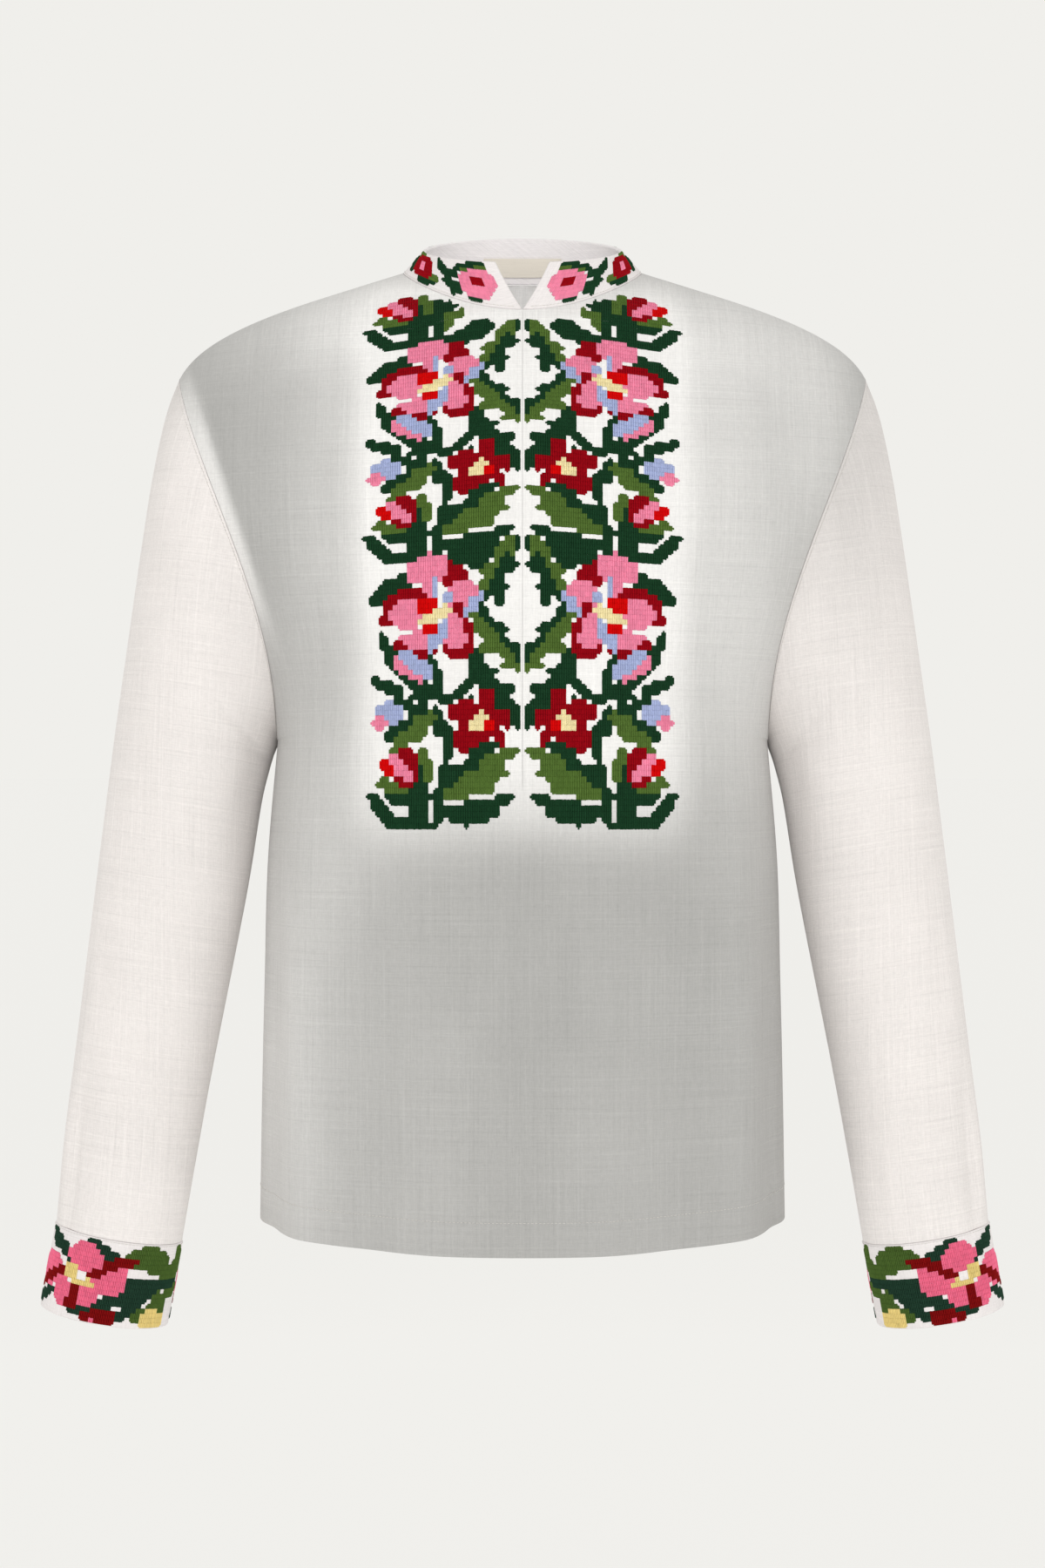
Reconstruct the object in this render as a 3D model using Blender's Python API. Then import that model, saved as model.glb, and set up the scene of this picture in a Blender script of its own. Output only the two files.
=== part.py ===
"""Embroidered folk shirt in linen: stand collar, slit front, dropped sleeves and band cuffs.

It has the hollow form that it takes when it is worn. Metres, +Z up. The front faces -Y and the
wearer's left is +X. The origin is where the wearer's shoulders carry the shirt: on the middle
line, level with the two shoulder seams at the neck.
"""

import math
from collections import namedtuple

import bpy
from mathutils import Vector

# ---- Driving dimensions -------------------------------------------------------------------

CLOTH = 0.0015  # wall of the linen panels
BAND = 0.0024  # wall of the collar and cuffs, which are cut double
LABEL_WALL = 0.0010
SEAM = 0.0003  # gap between two pieces where they are sewn together

# Neckline, where the collar joins: an oval that dips towards the front.
NECK_HALF_WIDTH = 0.0850
NECK_FRONT_DEPTH = 0.063
NECK_BACK_DEPTH = 0.062
NECK_BACK_Z = 0.006
NECK_DIP = 0.041
NECK_DIP_POWER = 2.7
NECK_SIDE_RISE = 0.003

# Collar's top edge, a little narrower than the neckline.
COLLAR_TOP_HALF_WIDTH = 0.0700
COLLAR_TOP_FRONT_DEPTH = 0.058
COLLAR_TOP_BACK_DEPTH = 0.060
COLLAR_TOP_BACK_Z = 0.040
COLLAR_TOP_DIP = 0.041
COLLAR_V_ANGLE = 15.6  # degrees that each front end opens away from the middle at the top edge
COLLAR_ROWS = 4

# Shoulder ridge, armhole and body.
RIDGE_OUT = Vector((0.058, 0.0, -0.0190))  # how the shoulder seam leaves the neck
RIDGE_IN = Vector((0.016, 0.0, -0.0365))  # how it reaches the armhole
SHOULDER_POINT_WIDTH, SHOULDER_POINT_HEIGHT = 0.012, 0.030  # the armhole's top, as one corner
ARMHOLE_BOW = 0.012  # the lower half of the seam bows about this far towards the body
PIT_ANGLE = 48.0  # armhole angle of the row that ends at the bottom of the neck's V
HEM_SIDE_Z = -0.666
SLIT_BOTTOM_Z = -0.360
SLIT_HALF_GAP = 0.0003

# Sampling, shared by the pieces that meet at a seam.
BODY_ROWS = 11  # from the hem to the armpit
HALF_COLUMNS = 12  # from the middle line to the side seam
FINE_STEP = 6.0  # degrees round the armhole near the shoulder
COARSE_STEP = 12.0  # degrees round the rest of the armhole
SLEEVE_RINGS = 18
CUFF_ROWS = 3
CUFF_LENGTH = 0.0585
CUFF_PROUD = 0.0006  # the doubled cuff stands out from the sleeve by this much
CUFF_FORWARD = 0.05  # slope of the cuffs towards the front

# One row of the body below the armpit. height is 0 at the hem and 1 at the armpit.
BodyRow = namedtuple("BodyRow", "height centre_z side_z half_width front_depth back_depth")
BODY_ROWS_TABLE = (
    BodyRow(0.00, -0.6740, HEM_SIDE_Z, 0.1860, 0.1300, 0.1180),
    BodyRow(0.25, -0.5900, -0.5820, 0.1847, 0.1290, 0.1170),
    BodyRow(0.50, -0.5050, -0.4980, 0.1828, 0.1285, 0.1160),
    BodyRow(0.75, -0.4180, -0.4140, 0.1805, 0.1290, 0.1165),
    BodyRow(1.00, -0.3250, -0.3300, 0.1735, 0.1300, 0.1170),
)

# Front and back middle lines above the armpit row, down from the neckline.
CentreRow = namedtuple("CentreRow", "angle z depth")
FRONT_CENTRE = (
    CentreRow(180.0, -0.3250, 0.1300),
    CentreRow(144.0, -0.2680, 0.1285),
    CentreRow(108.0, -0.1950, 0.1220),
    CentreRow(72.0, -0.1080, 0.0990),
    CentreRow(PIT_ANGLE, -0.0350, NECK_FRONT_DEPTH),
)
BACK_CENTRE = (
    CentreRow(180.0, -0.3250, 0.1170),
    CentreRow(144.0, -0.2620, 0.1160),
    CentreRow(108.0, -0.1780, 0.1100),
    CentreRow(72.0, -0.0800, 0.0930),
    CentreRow(PIT_ANGLE, NECK_BACK_Z, NECK_BACK_DEPTH),
)

# How a row leaves the middle line or neckline (out) and reaches the side or armhole (in). The
# depth is how far the row's last bend stands from the plane of the side seams.
Reach = namedtuple("Reach", "height out_x out_y out_z in_x depth in_z")
REACHES = (
    Reach(0.000, 0.118, 0.000, 0.000, 0.000, 0.082, 0.000),
    Reach(1.000, 0.112, 0.000, 0.000, 0.000, 0.080, 0.000),
    Reach(1.067, 0.112, 0.000, -0.001, 0.001, 0.073, -0.001),
    Reach(1.200, 0.110, 0.000, -0.004, 0.006, 0.069, -0.003),
    Reach(1.350, 0.105, 0.000, -0.006, 0.018, 0.083, -0.006),
    Reach(1.500, 0.098, -0.002, -0.008, 0.034, 0.102, -0.010),
    Reach(1.733, 0.080, -0.014, -0.010, 0.034, 0.068, -0.024),
    Reach(2.000, RIDGE_OUT.x, RIDGE_OUT.y, RIDGE_OUT.z, RIDGE_IN.x, 0.000, RIDGE_IN.z),
)

# Sleeve rings seen from the front: the two ends of each ring, its half depth and its middle.
# The first ring is the armhole and the last is the cuff seam.
SleeveRing = namedtuple("SleeveRing", "along outer_x outer_z inner_x inner_z half_depth middle_y bow")
SLEEVE_TABLE = (
    SleeveRing(0.000, 0.2430, -0.0725, 0.1735, -0.3300, 0.0640, 0.0000, ARMHOLE_BOW),
    SleeveRing(0.080, 0.2530, -0.1000, 0.1737, -0.3305, 0.0680, 0.0000, 0.008),
    SleeveRing(0.160, 0.2620, -0.1420, 0.1740, -0.3320, 0.0690, 0.0000, 0.004),
    SleeveRing(0.240, 0.2695, -0.1900, 0.1745, -0.3340, 0.0680, -0.0005, 0.001),
    SleeveRing(0.320, 0.2767, -0.2400, 0.1755, -0.3370, 0.0660, -0.0010, 0.000),
    SleeveRing(0.400, 0.2838, -0.2900, 0.1772, -0.3420, 0.0630, -0.0015, 0.000),
    SleeveRing(0.460, 0.2888, -0.3260, 0.1795, -0.3500, 0.0605, -0.0025, 0.000),
    SleeveRing(0.520, 0.2930, -0.3600, 0.1848, -0.3720, 0.0580, -0.0035, 0.000),
    SleeveRing(0.640, 0.3003, -0.4218, 0.1953, -0.4380, 0.0530, -0.0070, 0.000),
    SleeveRing(0.780, 0.3144, -0.5453, 0.2188, -0.5616, 0.0460, -0.0150, 0.000),
    SleeveRing(0.890, 0.3218, -0.6092, 0.2299, -0.6255, 0.0415, -0.0200, 0.000),
    SleeveRing(1.000, 0.3262, -0.6659, 0.2390, -0.6812, 0.0380, -0.0250, 0.000),
)

# Label inside the back of the collar.
LABEL_HALF_ANGLE = 22.5  # degrees each way from the middle of the back
LABEL_LOW, LABEL_HIGH = 0.15, 0.56  # shares of the collar's height

# Soft folds. across is 0 at the middle line and 1 at the side seam; a negative depth is a trough.
BodyFold = namedtuple("BodyFold", "across width depth top_z full_z")
FRONT_FOLDS = (
    BodyFold(0.16, 0.070, 0.0016, -0.380, -0.600),
    BodyFold(0.34, 0.080, -0.0030, -0.330, -0.640),
    BodyFold(0.57, 0.085, 0.0042, -0.180, -0.620),
    BodyFold(0.76, 0.070, -0.0030, -0.300, -0.600),
)
BACK_FOLDS = (
    BodyFold(0.10, 0.070, -0.0020, -0.300, -0.600),
    BodyFold(0.30, 0.080, 0.0038, -0.220, -0.620),
    BodyFold(0.52, 0.075, -0.0034, -0.280, -0.640),
    BodyFold(0.74, 0.080, 0.0036, -0.250, -0.620),
)

# Sleeve folds. angle is round the sleeve in degrees, 0 outside and 90 in front.
SleeveFold = namedtuple("SleeveFold", "angle width depth start full end")
SLEEVE_FOLDS = (
    SleeveFold(44.0, 9.0, -0.0034, 0.740, 0.900, 1.060),
    SleeveFold(28.0, 10.0, 0.0016, 0.740, 0.900, 1.060),
    SleeveFold(150.0, 16.0, -0.0022, 0.200, 0.420, 0.700),
    SleeveFold(215.0, 18.0, -0.0026, 0.180, 0.460, 0.800),
    SleeveFold(310.0, 16.0, 0.0020, 0.500, 0.800, 1.050),
)

LINEN = (0.80, 0.79, 0.77, 1.0)
LINEN_WARM = (0.86, 0.83, 0.81, 1.0)
LABEL_CREAM = (0.82, 0.78, 0.70, 1.0)
LINEN_ROUGHNESS = 0.85


# ---- Interpolation ------------------------------------------------------------------------


def sample(table, key):
    """The table's columns at key, on a smooth curve through its rows; the first column is the key."""
    keys = [row[0] for row in table]
    rising = keys[-1] > keys[0]
    last = len(table) - 2
    i = next((k for k in range(last) if (key < keys[k + 1]) == rising), last)
    before, here, there, after = (table[max(0, min(k, len(table) - 1))] for k in range(i - 1, i + 3))
    step = there[0] - here[0]
    u = (key - here[0]) / step
    values = []
    for a, b, c, d in zip(before[1:], here[1:], there[1:], after[1:]):
        slope_here = (c - a) / (there[0] - before[0]) * step
        slope_there = (d - b) / (after[0] - here[0]) * step
        values.append(
            (2 * u**3 - 3 * u**2 + 1) * b
            + (u**3 - 2 * u**2 + u) * slope_here
            + (3 * u**2 - 2 * u**3) * c
            + (u**3 - u**2) * slope_there
        )
    return values


def ease(low, high, value):
    """0 at low, 1 at high and smooth between, for low and high in either order."""
    u = max(0.0, min(1.0, (value - low) / (high - low)))
    return u * u * (3 - 2 * u)


def hump(value, middle, width):
    return math.exp(-(((value - middle) / width) ** 2))


# ---- Neckline and collar ------------------------------------------------------------------


def neck_point(angle):
    """Neckline at angle degrees from the middle of the front, on the +X side up to 180."""
    a = math.radians(angle)
    depth = NECK_FRONT_DEPTH if math.cos(a) > 0 else NECK_BACK_DEPTH
    dip = NECK_DIP * ((1 + math.cos(a)) / 2) ** NECK_DIP_POWER
    z = NECK_BACK_Z - dip + NECK_SIDE_RISE * math.sin(a) ** 2
    return Vector((NECK_HALF_WIDTH * math.sin(a), -depth * math.cos(a), z))


def collar_top_point(angle):
    a = math.radians(angle)
    depth = COLLAR_TOP_FRONT_DEPTH if math.cos(a) > 0 else COLLAR_TOP_BACK_DEPTH
    z = COLLAR_TOP_BACK_Z - COLLAR_TOP_DIP * (1 + math.cos(a)) / 2
    return Vector((COLLAR_TOP_HALF_WIDTH * math.sin(a), -depth * math.cos(a), z))


def collar_point(share, angle):
    """Outer face of the collar: share is 0 at the neckline and 1 at the top edge."""
    foot, top = neck_point(angle), collar_top_point(angle)
    rise = (top - foot).normalized() * SEAM
    return foot + rise + (top - foot - rise) * share


def collar_inward(share, angle):
    """Unit vector from the collar's outer face to the neck."""
    step = 0.5
    across = collar_point(share, angle + step) - collar_point(share, angle - step)
    up = collar_top_point(angle) - neck_point(angle)
    return up.cross(across).normalized()


def neck_angles():
    """Angles from 0 to 360 at which the collar meets the panels' rows."""
    quarter = [neck_angle(a) for a in arm_angles() if a <= PIT_ANGLE]
    half = quarter + [180 - a for a in reversed(quarter[:-1])]
    return half + [360 - a for a in reversed(half[:-1])]


# ---- Armhole, sleeve and cuff -------------------------------------------------------------


def arm_angles():
    """Angles round the armhole from the armpit (180) to the shoulder (0)."""
    coarse = [180 - COARSE_STEP * i for i in range(int((180 - PIT_ANGLE) / COARSE_STEP))]
    return coarse + [PIT_ANGLE - FINE_STEP * i for i in range(int(PIT_ANGLE / FINE_STEP) + 1)]


def sleeve_point(along, angle):
    """Sleeve's outer face on the +X side: angle is 0 outside, 90 in front and 180 inside."""
    outer_x, outer_z, inner_x, inner_z, half_depth, middle_y, bow = sample(SLEEVE_TABLE, along)
    outer, inner = Vector((outer_x, 0, outer_z)), Vector((inner_x, 0, inner_z))
    a = math.radians(angle)
    middle, half = (outer + inner) / 2, (outer - inner) / 2
    point = middle + half * math.cos(a)
    point.x -= bow * math.sin(a) ** 2 * (1 - math.cos(a))
    point.y = middle_y - half_depth * math.sin(a)
    return point


def sleeve_fold(along, angle):
    total = 0.0
    for fold in SLEEVE_FOLDS:
        turn = (angle - fold.angle + 180) % 360 - 180
        swell = ease(fold.start, fold.full, along) * ease(fold.end, fold.full, along)
        total += fold.depth * swell * hump(turn, 0, fold.width)
    return total


def sleeve_outward(along, angle):
    """Unit vector away from the ring's middle, square to the ring's oval."""
    outer_x, outer_z, inner_x, inner_z, half_depth, _, _ = sample(SLEEVE_TABLE, along)
    half = Vector((outer_x - inner_x, 0, outer_z - inner_z)) / 2
    a = math.radians(angle)
    direction = half.normalized() * (math.cos(a) / half.length)
    direction.y = -math.sin(a) / half_depth
    return direction.normalized()


def ring_angles():
    """Angles round the sleeve, the same points as the front and back armholes."""
    half = list(reversed(arm_angles()))
    return half + [360 - a for a in reversed(half[1:-1])]


def sleeve_shift():
    """How far the sleeve stands off the armhole: between square to the seam and along the ridge."""
    first = SLEEVE_TABLE[0]
    along = Vector((first.outer_x - first.inner_x, 0, first.outer_z - first.inner_z)).normalized()
    square = Vector((along.z, 0, -along.x))
    return (square + RIDGE_IN.normalized()).normalized() * SEAM


def sleeve_rows():
    """Rings of points from the armhole to the cuff seam."""
    rows = []
    for i in range(SLEEVE_RINGS + 1):
        along = i / SLEEVE_RINGS
        row = []
        for angle in ring_angles():
            outward = sleeve_outward(along, angle)
            point = sleeve_point(along, angle) + outward * sleeve_fold(along, angle)
            row.append(point + sleeve_shift())
        rows.append(row)
    return rows


def cuff_axis():
    """Unit vector down the cuff, square to its seam as seen from the front."""
    last = SLEEVE_TABLE[-1]
    across = Vector((last.outer_x - last.inner_x, 0, last.outer_z - last.inner_z)).normalized()
    return Vector((across.z, -CUFF_FORWARD, -across.x)).normalized()


def cuff_rows():
    rows = []
    for i in range(CUFF_ROWS + 1):
        down = sleeve_shift() + cuff_axis() * (SEAM + CUFF_LENGTH * i / CUFF_ROWS)
        rows.append(
            [sleeve_point(1, a) + sleeve_outward(1, a) * CUFF_PROUD + down for a in ring_angles()]
        )
    return rows


# ---- Front and back panels ----------------------------------------------------------------


def neck_angle(arm_angle):
    """Neckline angle of the row that reaches the armhole at arm_angle."""
    return 90 * (1 - arm_angle / PIT_ANGLE)


def panel_ends(height, facing):
    """Both ends of a panel's row on the +X side. facing is -1 for the front and 1 for the back."""
    if height <= 1:
        centre_z, side_z, half_width, front, back = sample(BODY_ROWS_TABLE, height)
        depth = front if facing < 0 else back
        return Vector((0, facing * depth, centre_z)), Vector((half_width, 0, side_z))
    arm_angle = 180 * (2 - height)
    outer = sleeve_point(0, -facing * arm_angle)
    if arm_angle <= PIT_ANGLE:
        angle = neck_angle(arm_angle)
        return neck_point(angle if facing < 0 else 180 - angle), outer
    z, depth = sample(FRONT_CENTRE if facing < 0 else BACK_CENTRE, arm_angle)
    return Vector((0, facing * depth, z)), outer


def panel_point(height, across, facing):
    """Outer face of a panel: height is 0 at the hem, 1 at the armpit and 2 at the shoulder seam."""
    start, end = panel_ends(height, facing)
    out_x, out_y, out_z, in_x, depth, in_z = sample(REACHES, height)
    leave = start + Vector((out_x, -facing * out_y, out_z))
    arrive = Vector((end.x - in_x, facing * depth, end.z - in_z))
    u, w = across, 1 - across
    return start * w**3 + leave * (3 * w * w * u) + arrive * (3 * w * u * u) + end * u**3


def body_fold(point, across, facing):
    """How far the folds move a point of a panel, outwards on the whole."""
    total = 0.0
    for fold in FRONT_FOLDS if facing < 0 else BACK_FOLDS:
        swell = ease(fold.top_z, fold.full_z, point.z)
        total += fold.depth * swell * hump(across, fold.across, fold.width)
    return Vector((point.x / 2, point.y, 0)).normalized() * total


def panel_rows(facing):
    """The +X half of the front (facing -1) or back (facing 1), from the hem to the shoulder seam."""
    heights = [i / BODY_ROWS for i in range(BODY_ROWS)]
    heights += [2 - a / 180 for a in arm_angles()]
    rows = []
    for height in heights:
        row = []
        for j in range(HALF_COLUMNS + 1):
            across = j / HALF_COLUMNS
            point = panel_point(height, across, facing)
            point += body_fold(point, across, facing)
            point.y += facing * SEAM / 2
            row.append(point)
        in_slit = facing < 0 and row[0].z > SLIT_BOTTOM_Z
        row[0].x = max(row[0].x, SLIT_HALF_GAP if in_slit else SEAM / 2)
        rows.append(row)
    return rows


# ---- Meshes -------------------------------------------------------------------------------


def material(name, colour):
    made = bpy.data.materials.new(name)
    made.use_nodes = True
    shader = made.node_tree.nodes["Principled BSDF"]
    shader.inputs["Base Color"].default_value = colour
    shader.inputs["Roughness"].default_value = LINEN_ROUGHNESS
    made.diffuse_color = colour
    return made


def shell(name, rows, flip, wall, finish, collection, seams=(), tube=False, ends=None):
    """A closed wall of cloth whose outer face passes through the rows of points.

    Each of the seams is a function that gives, for a point on a seam, the direction across it.
    There the wall runs square to that direction, so that it stays on its own side of the seam.
    ends is that direction along the rows' first and last points.
    """
    index, faces = {}, []
    ids = [
        [index.setdefault(tuple(round(c, 7) for c in p), len(index)) for p in row] for row in rows
    ]
    for low, high in zip(ids, ids[1:]):
        pairs = list(zip(low, high))
        ahead = pairs[1:] + pairs[:1] if tube else pairs[1:]
        quads = [(a, b, c, d) for (a, d), (b, c) in zip(pairs, ahead)]
        faces += [(a, d, c, b) for a, b, c, d in quads] if flip else quads
    end_points = {i for row in ids for i in (row[0], row[-1])}
    points = [Vector(p) for p in index]
    inward = [Vector() for _ in points]
    for face in faces:
        a, b, c, d = (points[i] for i in face)
        for i in face:
            inward[i] -= (c - a).cross(d - b)
    sides = {(face[k], face[(k + 1) % 4]) for face in faces for k in range(4)}
    rim = sorted((a, b) for a, b in sides if (b, a) not in sides)
    for i in sorted({i for side in rim for i in side}):
        crossed = [seam(points[i]) for seam in seams]
        if ends and i in end_points:
            crossed.append(ends)
        for across in filter(None, crossed):
            inward[i] -= across * inward[i].dot(across)
    count = len(points)
    points += [p + n.normalized() * wall for p, n in zip(points, inward)]
    faces += [tuple(i + count for i in (a, d, c, b)) for a, b, c, d in faces]
    faces += [(b, a, a + count, b + count) for a, b in rim]

    mesh = bpy.data.meshes.new(name)
    mesh.from_pydata(points, [], faces)
    mesh.materials.append(finish)
    mesh.shade_smooth()
    piece = bpy.data.objects.new(name, mesh)
    collection.objects.link(piece)
    return piece


def mirrored(rows):
    return [[Vector((-p.x, p.y, p.z)) for p in row] for row in rows]


def side_seam(point):
    return Vector((0, 1, 0)) if abs(point.y) < SEAM else None


def middle_line(point):
    return Vector((1, 0, 0)) if abs(point.x) < 2 * SLIT_HALF_GAP else None


def armhole_top(point):
    top = sleeve_point(0, 0)
    if abs(point.x) < top.x - SHOULDER_POINT_WIDTH or point.z < top.z - SHOULDER_POINT_HEIGHT:
        return None
    return Vector((math.copysign(RIDGE_IN.x, point.x), 0, RIDGE_IN.z)).normalized()


def cuff_seam(point):
    if point.z > SLEEVE_TABLE[-1].outer_z + CUFF_PROUD:
        return None
    axis = cuff_axis()
    return Vector((math.copysign(axis.x, point.x), axis.y, axis.z))


def make_panel(name, facing, finish, collection):
    """Two halves that meet on the middle line."""
    rows = panel_rows(facing)
    seams = (side_seam, middle_line, armhole_top)
    shell(f"{name}_left", rows, facing > 0, CLOTH, finish, collection, seams)
    shell(f"{name}_right", mirrored(rows), facing < 0, CLOTH, finish, collection, seams)


def make_sleeve(finish, collection):
    """Each sleeve is a front and a back half, which meet along its outer and its underarm line."""
    rows = sleeve_rows()
    half = len(rows[0]) // 2
    across = Vector((0, SEAM / 2, 0))
    halves = (
        ("front", [[p - across if j in (0, half) else p for j, p in enumerate(row[: half + 1])]
                   for row in rows]),
        ("back", [[p + across if j in (0, half) else p for j, p in enumerate(row[half:] + row[:1])]
                  for row in rows]),
    )
    seams = (armhole_top, cuff_seam)
    for facing, grid in halves:
        for side, half_rows, flip in (("left", grid, False), ("right", mirrored(grid), True)):
            name = f"sleeve_{side}_{facing}"
            shell(name, half_rows, flip, CLOTH, finish, collection, seams, ends=Vector((0, 1, 0)))


def make_collar(finish, collection):
    rows = []
    for i in range(COLLAR_ROWS + 1):
        share = i / COLLAR_ROWS
        opening = max(COLLAR_V_ANGLE * share, math.degrees(SLIT_HALF_GAP / NECK_HALF_WIDTH))
        rows.append(
            [collar_point(share, opening + a * (1 - opening / 180)) for a in neck_angles()]
        )
    return shell("collar", rows, False, BAND, finish, collection, (middle_line,))


def make_label(finish, collection):
    """The label follows the collar's inner face, so its columns are the collar's."""
    angles = [a for a in neck_angles() if abs(a - 180) <= LABEL_HALF_ANGLE]
    rows = [
        [collar_point(share, a) + collar_inward(share, a) * (BAND + SEAM) for a in angles]
        for share in (LABEL_LOW, LABEL_HIGH)
    ]
    return shell("neck_label", rows, False, LABEL_WALL, finish, collection)


def main():
    for thing in list(bpy.data.objects):
        bpy.data.objects.remove(thing)
    collection = bpy.data.collections.new("embroidered_shirt")
    bpy.context.scene.collection.children.link(collection)
    linen = material("linen", LINEN)
    sleeve_linen = material("sleeve_linen", LINEN_WARM)
    cream = material("label_cream", LABEL_CREAM)

    make_panel("front_panel", -1, linen, collection)
    make_panel("back_panel", 1, linen, collection)
    make_collar(linen, collection)
    make_label(cream, collection)
    make_sleeve(sleeve_linen, collection)
    for side, rows, flip in (("left", cuff_rows(), False), ("right", mirrored(cuff_rows()), True)):
        shell(f"cuff_{side}", rows, flip, BAND, sleeve_linen, collection, (cuff_seam,), tube=True)


main()
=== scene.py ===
"""Embroidered folk shirt in linen: its cloth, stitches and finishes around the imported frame.

The layout is a Blender add-on's, and it is run as a script. Metres, +Z up. The front faces -Y and
the wearer's left is +X.
"""

import math
import random
from bisect import bisect_right
from collections import namedtuple
from itertools import accumulate, product

import bmesh
import bpy
from bpy.props import FloatProperty, FloatVectorProperty, IntProperty, PointerProperty
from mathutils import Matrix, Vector
from mathutils.bvhtree import BVHTree


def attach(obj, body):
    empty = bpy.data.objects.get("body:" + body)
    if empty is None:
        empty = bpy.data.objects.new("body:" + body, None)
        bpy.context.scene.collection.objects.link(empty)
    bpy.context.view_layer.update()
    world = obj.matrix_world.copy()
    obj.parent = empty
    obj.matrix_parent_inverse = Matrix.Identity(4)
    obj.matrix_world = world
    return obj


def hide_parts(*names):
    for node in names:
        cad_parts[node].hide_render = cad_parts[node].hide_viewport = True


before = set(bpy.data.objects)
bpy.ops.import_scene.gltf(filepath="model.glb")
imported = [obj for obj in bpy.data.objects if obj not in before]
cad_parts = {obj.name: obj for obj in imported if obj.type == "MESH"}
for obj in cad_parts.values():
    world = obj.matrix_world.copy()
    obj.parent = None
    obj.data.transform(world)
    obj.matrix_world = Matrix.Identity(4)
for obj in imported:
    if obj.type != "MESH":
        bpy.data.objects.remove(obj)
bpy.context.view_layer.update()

bl_info = {
    "name": "Embroidered linen shirt",
    "version": (1, 0, 0),
    "blender": (4, 5, 0),
    "location": "3D View > Sidebar > Shirt",
    "description": "Builds a stand-collar linen shirt with counted satin-stitch embroidery",
    "category": "Add Mesh",
}

BODY = "root"
SIDES = ((1, "left"), (-1, "right"))  # the wearer's

# ---- Sizes, the same as the solids' ---------------------------------------------------------

SEAM = 0.0003  # gap between two pieces where they are sewn together
NECK_HALF_WIDTH = 0.0850
NECK_FRONT_DEPTH = 0.063
NECK_BACK_DEPTH = 0.062
NECK_BACK_Z = 0.006
NECK_DIP = 0.041
NECK_DIP_POWER = 2.7
NECK_SIDE_RISE = 0.003

COLLAR_TOP_HALF_WIDTH = 0.0700
COLLAR_TOP_FRONT_DEPTH = 0.058
COLLAR_TOP_BACK_DEPTH = 0.060
COLLAR_TOP_BACK_Z = 0.040
COLLAR_TOP_DIP = 0.041
COLLAR_V_ANGLE = 15.6  # degrees that each front end opens away from the middle at the top edge
COLLAR_WALL = 0.0024

RIDGE_OUT = Vector((0.058, 0.0, -0.0190))  # how the shoulder seam leaves the neck
RIDGE_IN = Vector((0.016, 0.0, -0.0365))  # how it reaches the armhole
SHOULDER_POINT_WIDTH, SHOULDER_POINT_HEIGHT = 0.012, 0.030
ARMHOLE_BOW = 0.012
PIT_ANGLE = 48.0  # armhole angle of the row that ends at the bottom of the neck's V
HEM_SIDE_Z = -0.666
SLIT_BOTTOM_Z = -0.360
SLIT_HALF_GAP = 0.0001

CUFF_LENGTH = 0.0585
CUFF_PROUD = 0.0006  # the doubled cuff stands out from the sleeve by this much
CUFF_FORWARD = 0.05  # slope of the cuffs towards the front
CUFF_WALL = 0.0024
BAND_ROUNDING = 0.0008  # radius of the edges of the collar and the cuffs

# How finely the cloth is drawn.
BODY_ROWS = 44  # from the hem to the armpit
HALF_COLUMNS = 44  # from the middle line to the side seam
FINE_STEP = 1.5  # degrees round the armhole near the shoulder
COARSE_STEP = 3.0
SLEEVE_RINGS = 72
CUFF_ROWS = 8
COLLAR_ROWS = 8
LABEL_ROWS, LABEL_COLUMNS = 8, 32

# One row of the body below the armpit. height is 0 at the hem and 1 at the armpit.
BodyRow = namedtuple("BodyRow", "height centre_z side_z half_width front_depth back_depth")
BODY_ROWS_TABLE = (
    BodyRow(0.00, -0.6740, HEM_SIDE_Z, 0.1860, 0.1300, 0.1180),
    BodyRow(0.25, -0.5900, -0.5820, 0.1847, 0.1290, 0.1170),
    BodyRow(0.50, -0.5050, -0.4980, 0.1828, 0.1285, 0.1160),
    BodyRow(0.75, -0.4180, -0.4140, 0.1805, 0.1290, 0.1165),
    BodyRow(1.00, -0.3250, -0.3300, 0.1735, 0.1300, 0.1170),
)

# Front and back middle lines above the armpit row, down from the neckline.
CentreRow = namedtuple("CentreRow", "angle z depth")
FRONT_CENTRE = (
    CentreRow(180.0, -0.3250, 0.1300),
    CentreRow(144.0, -0.2680, 0.1285),
    CentreRow(108.0, -0.1950, 0.1220),
    CentreRow(72.0, -0.1080, 0.0990),
    CentreRow(PIT_ANGLE, -0.0350, NECK_FRONT_DEPTH),
)
BACK_CENTRE = (
    CentreRow(180.0, -0.3250, 0.1170),
    CentreRow(144.0, -0.2620, 0.1160),
    CentreRow(108.0, -0.1780, 0.1100),
    CentreRow(72.0, -0.0800, 0.0930),
    CentreRow(PIT_ANGLE, NECK_BACK_Z, NECK_BACK_DEPTH),
)

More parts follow.
